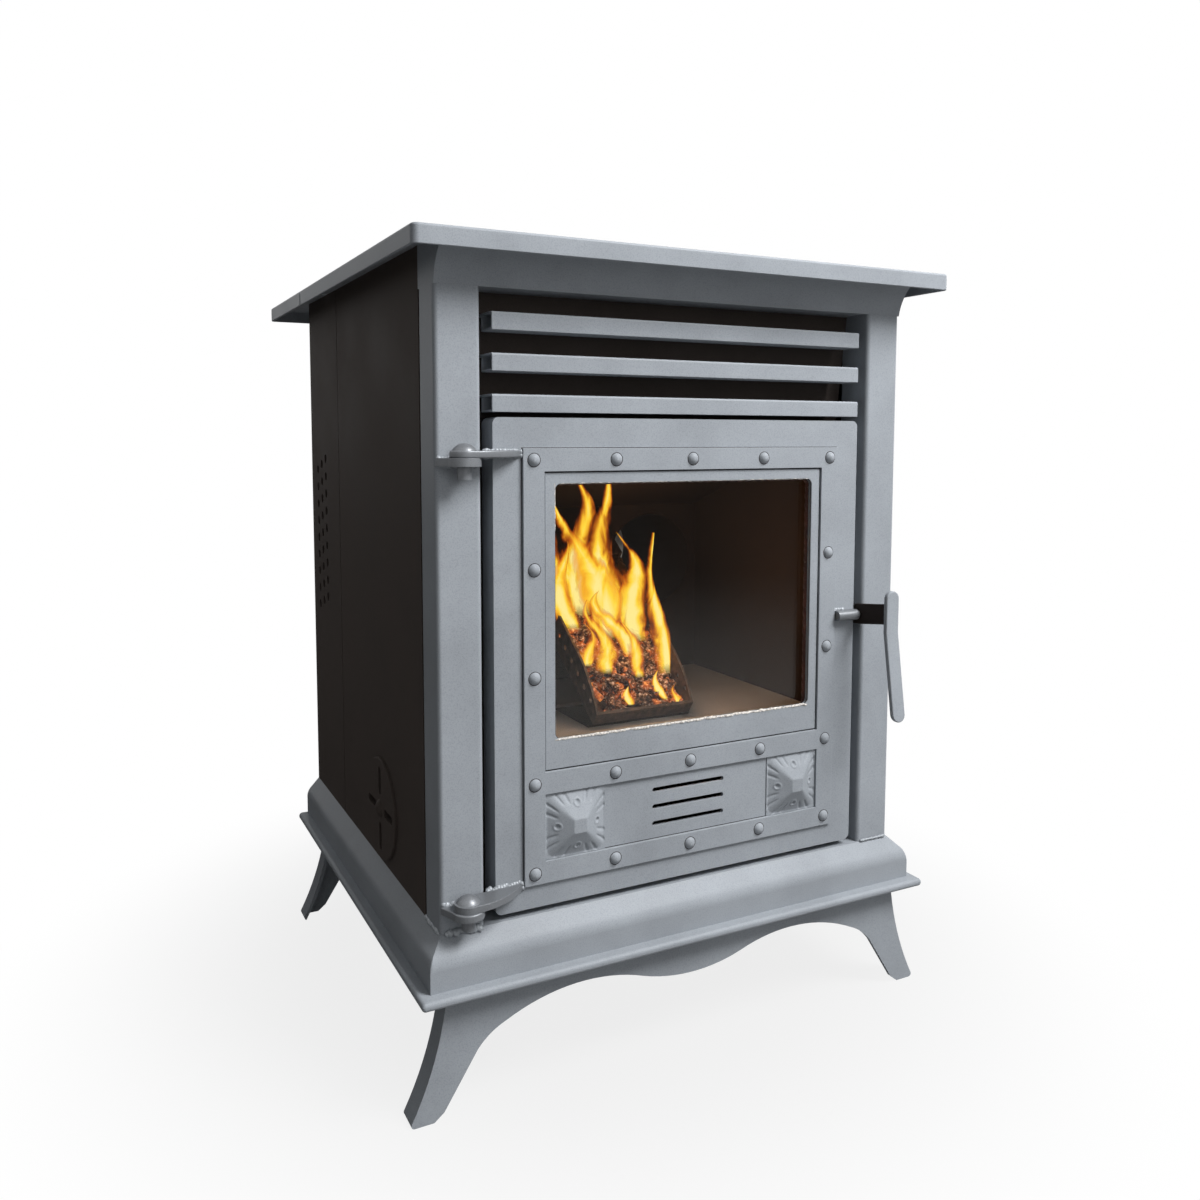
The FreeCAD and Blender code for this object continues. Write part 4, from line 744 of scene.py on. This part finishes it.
class STOVE_OT_sealant(bpy.types.Operator):
    """Fire sealant squeezed out along the lower, upper and left edge of the window"""
    bl_idname = "stove.sealant"
    bl_label = "Window Sealant"

    def execute(self, context):
        low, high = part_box("window_bezel")
        y = low.y + SEALANT_SINK
        left, right = low.x + BEZEL_SIDE, high.x - BEZEL_SIDE
        foot, head = low.z + BEZEL_FOOT, high.z - BEZEL_SIDE
        runs = (("foot", left, foot, right, foot, 1.2 * MM, UP_OUT, 2),
                ("head", left + SEALANT_GAP, head, right, head, 0.6 * MM, DOWN_OUT, 4),
                ("left", left, head - SEALANT_LEFT, left, head, 0.7 * MM, RIGHT_OUT, 3))
        bm = bmesh.new()
        for name, x0, z0, x1, z1, radius, lean, pitch in runs:
            bead(bm, Vector((x0, y, z0)), Vector((x1, y, z1)), radius, lean, name, SEALANT_WANDER, pitch)
        piece("window_sealant", bm, "door", "sealant", sharp_degrees=80)
        return {"FINISHED"}


# Slope of the burner basket, its front lip and its sheet
SLOPE = math.radians(36)
SLOPE_RUN = Vector((0, math.cos(SLOPE), math.sin(SLOPE)))
SLOPE_UP = Vector((0, -math.sin(SLOPE), math.cos(SLOPE)))
BASKET_LIP = 12 * MM
BASKET_SHEET = 2.5 * MM
# Fire bed: reach up the slope and half width in mm, depth at its foot and at most, rise, and rounding across
BED_RUN = (6, 195)
BED_HALF = 47
HEAP_FOOT = 8 * MM
HEAP_MOST = 22 * MM
HEAP_RISE = 0.5
HEAP_ROUND = 0.4
# Pellets: length in mm, tilt in degrees either way, share of radius at the thin end, and place in the heap
PELLET_LENGTH = (10, 19)
PELLET_TILT = 22
PELLET_TAPER = (0.9, 1.0)
PELLET_DEPTH = (0.15, 1.0)


def basket_foot():
    """Lowest inner point of the basket's floor."""
    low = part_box("burner_basket")[0]
    return Vector((0, low.y + BASKET_LIP * math.sin(SLOPE), low.z + BASKET_SHEET * math.cos(SLOPE)))


def heap(run, side):
    """Depth of the pellets at a place on the slope."""
    depth = min(HEAP_MOST, HEAP_FOOT + run * HEAP_RISE)
    return depth * (1 - HEAP_ROUND * (side / (BED_HALF * MM)) ** 2)


class STOVE_OT_fire_bed(bpy.types.Operator):
    """Burning pellets heaped in the basket"""
    bl_idname = "stove.fire_bed"
    bl_label = "Fire Bed"

    def execute(self, context):
        detail = context.scene.stove_detail
        rng = random.Random(41)
        foot = basket_foot()
        bm = bmesh.new()
        for _ in range(detail.pellet_count):
            run = rng.uniform(*BED_RUN) * MM
            side = rng.uniform(-BED_HALF, BED_HALF) * MM
            lift = max(detail.pellet_radius, heap(run, side) * rng.uniform(*PELLET_DEPTH))
            place = foot + SLOPE_RUN * run + SLOPE_UP * lift + Vector((side, 0, 0))
            turn = Matrix.Rotation(SLOPE, 4, "X") @ Matrix.Rotation(rng.uniform(0, math.pi), 4, "Z") @ (
                Matrix.Rotation(math.radians(90 + rng.uniform(-PELLET_TILT, PELLET_TILT)), 4, "Y"))
            length = rng.uniform(*PELLET_LENGTH) * MM
            bmesh.ops.create_cone(bm, cap_ends=True, segments=8, radius1=detail.pellet_radius,
                                  radius2=detail.pellet_radius * rng.uniform(*PELLET_TAPER), depth=length,
                                  matrix=Matrix.Translation(place) @ turn)
        piece("burning_pellets", bm, "stove_body", "pellets", sharp_degrees=50)
        return {"FINISHED"}


# Flames: highest reach, spread of the widths below, width share at the root, height share of the widest place,
# sharpness of the tip, yaw in degrees, and how deep the root stands in the heap
FLAME_ROOF = 566 * MM
FLAME_SPREAD = 1.6
FLAME_ROOT = 0.55
FLAME_BELLY = 0.3
FLAME_TIP = 1.3
FLAME_YAW = (-40, 10)
FLAME_STAND = 0.7


def flame_tongue(bm, uv_layer, base, height, width, yaw, drift, rng):
    """One licking blade: it swells over its root, sways, drifts to the left and narrows to a tip."""
    grid = bmesh.ops.create_grid(bm, x_segments=10, y_segments=28, size=0.5)
    phase = rng.uniform(0, 2 * math.pi)
    curl = rng.uniform(0.7, 1.2)
    sway = width * rng.uniform(0.12, 0.32)
    turn = Matrix.Rotation(yaw, 4, "Z")
    for vert in grid["verts"]:
        u, v = vert.co.x + 0.5, vert.co.y + 0.5
        if v < FLAME_BELLY:
            swell = FLAME_ROOT + (1 - FLAME_ROOT) * v / FLAME_BELLY
        else:
            swell = 1 - ((v - FLAME_BELLY) / (1 - FLAME_BELLY)) ** FLAME_TIP
        wave = (math.sin(phase + v * math.pi * 2 * curl) - math.sin(phase)) * sway * (0.3 + v)
        bulge = width * (0.25 - (u - 0.5) ** 2)
        vert.co = base + turn @ Vector(((u - 0.5) * width * swell + wave, -bulge, v * height))
        vert.co.x -= drift * v
        for loop in vert.link_loops:
            loop[uv_layer].uv = (u, v)


# Each tongue: way up the slope, place across it, height, width and drift to the left, in mm
TONGUES = (
    (8, 42, 22, 10, 2), (12, 29, 32, 13, 9), (10, -12, 20, 10, 4), (40, 8, 64, 20, 28), (52, -26, 78, 26, 22),
    (44, 41, 150, 22, 22), (72, 14, 70, 30, 20), (92, 33, 120, 30, 26), (98, -4, 150, 44, 46),
    (118, -38, 96, 30, 16), (122, 26, 176, 32, 24), (134, -18, 165, 32, 26), (148, -44, 150, 34, 12),
    (66, -40, 46, 20, 12))


class STOVE_OT_flames(bpy.types.Operator):
    """Tongues of flame over the fire bed"""
    bl_idname = "stove.flames"
    bl_label = "Flames"

    def execute(self, context):
        rng = random.Random(7)
        foot = basket_foot()
        bm = bmesh.new()
        uv_layer = bm.loops.layers.uv.new("UVMap")
        for tongue in TONGUES:
            run, side, height, width, drift = (value * MM for value in tongue)
            base = foot + SLOPE_RUN * run + SLOPE_UP * heap(run, side) * FLAME_STAND + Vector((side, 0, 0))
            height = min(FLAME_ROOF - base.z, height)
            width *= FLAME_SPREAD
            yaw = math.radians(rng.uniform(*FLAME_YAW))
            flame_tongue(bm, uv_layer, base, height, width, yaw, drift, rng)
        piece("flame_tongues", bm, "stove_body", "flame", sharp_degrees=180)
        return {"FINISHED"}


def pan_head(bm, place, axis, radius):
    """Pan-head screw with a round socket, its sizes taken from its radius."""
    turn = Matrix.Translation(place) @ Vector((0, 0, 1)).rotation_difference(axis).to_matrix().to_4x4()
    part = bmesh.new()
    height = radius * 0.7
    bmesh.ops.create_cone(part, cap_ends=True, segments=24, radius1=radius, radius2=radius, depth=height)
    bmesh.ops.translate(part, vec=(0, 0, height / 2), verts=part.verts)
    rim = [e for e in part.edges if all(v.co.z > height / 2 for v in e.verts)]
    bmesh.ops.bevel(part, geom=rim, offset=radius * 0.3, offset_type="OFFSET", segments=3, profile=0.5,
                    affect="EDGES", clamp_overlap=True, material=-1)
    crown = max(part.faces, key=lambda f: f.calc_center_median().z)
    bmesh.ops.inset_region(part, faces=[crown], thickness=radius * 0.25, depth=0)
    bmesh.ops.translate(part, vec=(0, 0, -radius * 0.25), verts=crown.verts)
    bmesh.ops.transform(part, matrix=turn, verts=part.verts)
    mesh = bpy.data.meshes.new("screw_part")
    part.to_mesh(mesh)
    part.free()
    bm.from_mesh(mesh)
    bpy.data.meshes.remove(mesh)


# Screws: radius and inset from the edge, and their places up the back panel as shares of its height
PANEL_SCREW = 4 * MM
PANEL_SCREW_INSET = 9 * MM
PANEL_SCREW_PLACES = (0.04, 0.35, 0.66, 0.96)
RING_SCREW = 3.4 * MM
RING_SCREW_INSET = 6 * MM


class STOVE_OT_screws(bpy.types.Operator):
    """Screws that hold the back panel and the flue ring"""
    bl_idname = "stove.screws"
    bl_label = "Rear Screws"

    def execute(self, context):
        bm = bmesh.new()
        back = Vector((0, 1, 0))
        low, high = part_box("back_panel")
        for x in (low.x + PANEL_SCREW_INSET, high.x - PANEL_SCREW_INSET):
            for share in PANEL_SCREW_PLACES:
                pan_head(bm, Vector((x, high.y, low.z + (high.z - low.z) * share)), back, PANEL_SCREW)
        low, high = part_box("flue_ring")
        centre = Vector(((low.x + high.x) / 2, high.y, (low.z + high.z) / 2))
        reach = (high.x - low.x) / 2 - RING_SCREW_INSET
        for degrees in (45, 135, 225, 315):
            turn = math.radians(degrees)
            pan_head(bm, centre + Vector((math.cos(turn), 0, math.sin(turn))) * reach, back, RING_SCREW)
        piece("rear_screws", bm, "stove_body", "steel", sharp_degrees=35)
        return {"FINISHED"}


# Lamps: place, size and the point that they are aimed at
LIT_POINT = Vector((0, 0, 0.4))
KEY_PLACE = Vector((0.9, -1.4, 2.1))
KEY_SIZE = 1.0
FILL_PLACE = Vector((0.1, -2.6, 1.1))
FILL_SIZE = 1.2
# The fire's lamp, from the basket's foot up the slope and then straight up
FIRE_RUN = 20 * MM
FIRE_RISE = 130 * MM
FIRE_SIZE = 40 * MM
# Floor: radius, reach over which it turns white, and its white share at the stove, where the floor is greyer as
# painted shade round its foot
FLOOR_RADIUS = 30
WHITE_REACH = (0.25, 0.65)
WHITE_SHARE = 0.83
# Surroundings: bright side, share of light left on the dark side, and the turn between them
BRIGHT_SIDE = (0.62, -0.35, 0.70)
DARK_SHARE = 0.15
DARK_TO_BRIGHT = (-0.4, 0.7)
# Camera at the photograph's viewing angle
CAMERA_PLACE = Vector((-0.5169, -1.0518, 0.5732))
CAMERA_RIGHT = Vector((0.8920, -0.4521, 0.0005))
CAMERA_AHEAD = Vector((0.4506, 0.8890, -0.0816))
CAMERA_SENSOR = 36
CAMERA_SHIFT = (0.0110, -0.0623)


def area_lamp(name, place, target, size, power):
    """Square soft lamp aimed at a point."""
    data = bpy.data.lights.new(name, "AREA")
    data.energy = power
    data.shape = "SQUARE"
    data.size = size
    lamp = bpy.data.objects.new(name, data)
    aim = (place - target).to_track_quat("Z", "Y").to_matrix().to_4x4()
    lamp.matrix_world = Matrix.Translation(place) @ aim
    bpy.context.scene.collection.objects.link(lamp)


def fire_lamp(power):
    """Warm light that the flames throw on the firebox."""
    data = bpy.data.lights.new("fire", "POINT")
    data.energy = power
    data.color = linear("#ffc896")[:3]
    data.shadow_soft_size = FIRE_SIZE
    lamp = bpy.data.objects.new("fire", data)
    lamp.location = basket_foot() + SLOPE_RUN * FIRE_RUN + Vector((0, 0, FIRE_RISE))
    lamp.visible_camera = False
    lamp.visible_glossy = False
    lamp.visible_transmission = False
    bpy.context.scene.collection.objects.link(lamp)


def stage_floor(colour):
    """Pale floor that keeps the stove's real shadow, is greyer near the stove as painted shade round its foot,
    and turns white away from it.
    """
    bm = bmesh.new()
    bmesh.ops.create_circle(bm, cap_ends=True, segments=96, radius=FLOOR_RADIUS)
    mesh = bpy.data.meshes.new("floor")
    bm.to_mesh(mesh)
    bm.free()
    floor = bpy.data.objects.new("floor", mesh)
    bpy.context.scene.collection.objects.link(floor)
    material, tree, output = blank("pale floor")
    place = add(tree, "ShaderNodeTexCoord").outputs["Object"]
    # The white share rises from the stove's foot outwards over about 0.4 m; where it is lower, near the stove,
    # the floor turns grey as painted shade round the foot, besides the real shadow in its diffuse part
    reach = add(tree, "ShaderNodeVectorMath", {"operation": "LENGTH"}, i0=place)
    share = add(tree, "ShaderNodeMapRange", {
        "interpolation_type": "SMOOTHSTEP", "From Min": WHITE_REACH[0], "From Max": WHITE_REACH[1],
        "To Min": WHITE_SHARE, "To Max": 1.0}, Value=reach.outputs["Value"])
    path = add(tree, "ShaderNodeLightPath")
    seen = add(tree, "ShaderNodeMath", {"operation": "MULTIPLY"}, i0=path.outputs["Is Camera Ray"],
               i1=share.outputs["Result"])
    matt = add(tree, "ShaderNodeBsdfDiffuse", {"Color": colour})
    white = add(tree, "ShaderNodeEmission", {"Color": WHITE, "Strength": 1.0})
    mix = add(tree, "ShaderNodeMixShader", Fac=seen.outputs[0], i1=matt.outputs[0], i2=white.outputs[0])
    tree.links.new(mix.outputs[0], output.inputs["Surface"])
    mesh.materials.append(material)


def stage_world(strength):
    """Surroundings that light the right and front softly and look white to the camera, metal and glass."""
    world = bpy.data.worlds.new("studio")
    bpy.context.scene.world = world
    world.use_nodes = True
    tree = world.node_tree
    tree.nodes.clear()
    output = tree.nodes.new("ShaderNodeOutputWorld")
    place = add(tree, "ShaderNodeTexCoord").outputs["Generated"]
    # Brightest towards the upper right in front
    facing = add(tree, "ShaderNodeVectorMath", {"operation": "DOT_PRODUCT", 1: BRIGHT_SIDE}, i0=place)
    soft = add(tree, "ShaderNodeMapRange", {
        "interpolation_type": "SMOOTHSTEP", "From Min": DARK_TO_BRIGHT[0], "From Max": DARK_TO_BRIGHT[1],
        "To Min": strength * DARK_SHARE, "To Max": strength}, Value=facing.outputs["Value"])
    path = add(tree, "ShaderNodeLightPath")
    seen = add(tree, "ShaderNodeMath", {"operation": "MAXIMUM"}, i0=path.outputs["Is Camera Ray"],
               i1=path.outputs["Is Glossy Ray"])
    seen = add(tree, "ShaderNodeMath", {"operation": "MAXIMUM"}, i0=seen.outputs[0],
               i1=path.outputs["Is Transmission Ray"])
    level = add(tree, "ShaderNodeMix", {3: 1.0}, i0=seen.outputs[0], i2=soft.outputs["Result"])
    back = add(tree, "ShaderNodeBackground", {"Color": WHITE}, Strength=level.outputs[0])
    tree.links.new(back.outputs[0], output.inputs["Surface"])


class STOVE_OT_stage(bpy.types.Operator):
    """Floor, soft light and camera"""
    bl_idname = "stove.stage"
    bl_label = "Stage"

    def execute(self, context):
        scene = context.scene
        stage = scene.stove_stage
        stage_floor(list(stage.floor))
        stage_world(stage.ambient)
        area_lamp("key", KEY_PLACE, LIT_POINT, KEY_SIZE, stage.key_power)
        area_lamp("fill", FILL_PLACE, LIT_POINT, FILL_SIZE, stage.fill_power)
        fire_lamp(stage.fire_power)
        camera = bpy.data.objects.new("camera", bpy.data.cameras.new("camera"))
        scene.collection.objects.link(camera)
        right = CAMERA_RIGHT.normalized()
        ahead = CAMERA_AHEAD.normalized()
        up = right.cross(ahead)
        turn = Matrix((right, up, -ahead)).transposed().to_4x4()
        camera.matrix_world = Matrix.Translation(CAMERA_PLACE) @ turn
        camera.data.lens = stage.lens
        camera.data.sensor_width = CAMERA_SENSOR
        camera.data.shift_x, camera.data.shift_y = CAMERA_SHIFT
        camera.data.dof.use_dof = False
        scene.camera = camera
        scene.view_settings.view_transform = "Standard"
        return {"FINISHED"}


class STOVE_PT_panel(bpy.types.Panel):
    """Sidebar panel of the stove's settings and steps"""
    bl_idname = "STOVE_PT_panel"
    bl_label = "Pellet Stove"
    bl_space_type = "VIEW_3D"
    bl_region_type = "UI"
    bl_category = "Stove"

    def draw(self, context):
        layout = self.layout
        for group in (context.scene.stove_finish, context.scene.stove_detail, context.scene.stove_stage):
            column = layout.column()
            for name in group.__annotations__:
                column.prop(group, name)
        for operator in OPERATORS:
            layout.operator(operator.bl_idname)


OPERATORS = (STOVE_OT_paint, STOVE_OT_soften, STOVE_OT_welds, STOVE_OT_rosettes, STOVE_OT_joint_lines,
             STOVE_OT_ropes, STOVE_OT_sealant, STOVE_OT_fire_bed, STOVE_OT_flames, STOVE_OT_screws,
             STOVE_OT_stage)
GROUPS = {"stove_finish": StoveFinishSettings, "stove_detail": StoveDetailSettings,
          "stove_stage": StoveStageSettings}


def register():
    """Add the classes and the scene's settings."""
    for cls in (*GROUPS.values(), *OPERATORS, STOVE_PT_panel):
        bpy.utils.register_class(cls)
    for name, cls in GROUPS.items():
        setattr(bpy.types.Scene, name, PointerProperty(type=cls))


def unregister():
    """Take them away again."""
    for name in GROUPS:
        delattr(bpy.types.Scene, name)
    for cls in (STOVE_PT_panel, *reversed(OPERATORS), *reversed(GROUPS.values())):
        bpy.utils.unregister_class(cls)


def main():
    """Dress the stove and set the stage."""
    register()
    bpy.ops.stove.paint()
    bpy.ops.stove.soften()
    bpy.ops.stove.welds()
    bpy.ops.stove.rosettes()
    bpy.ops.stove.joint_lines()
    bpy.ops.stove.ropes()
    bpy.ops.stove.sealant()
    bpy.ops.stove.fire_bed()
    bpy.ops.stove.flames()
    bpy.ops.stove.screws()
    bpy.ops.stove.stage()


if __name__ == "__main__":
    main()
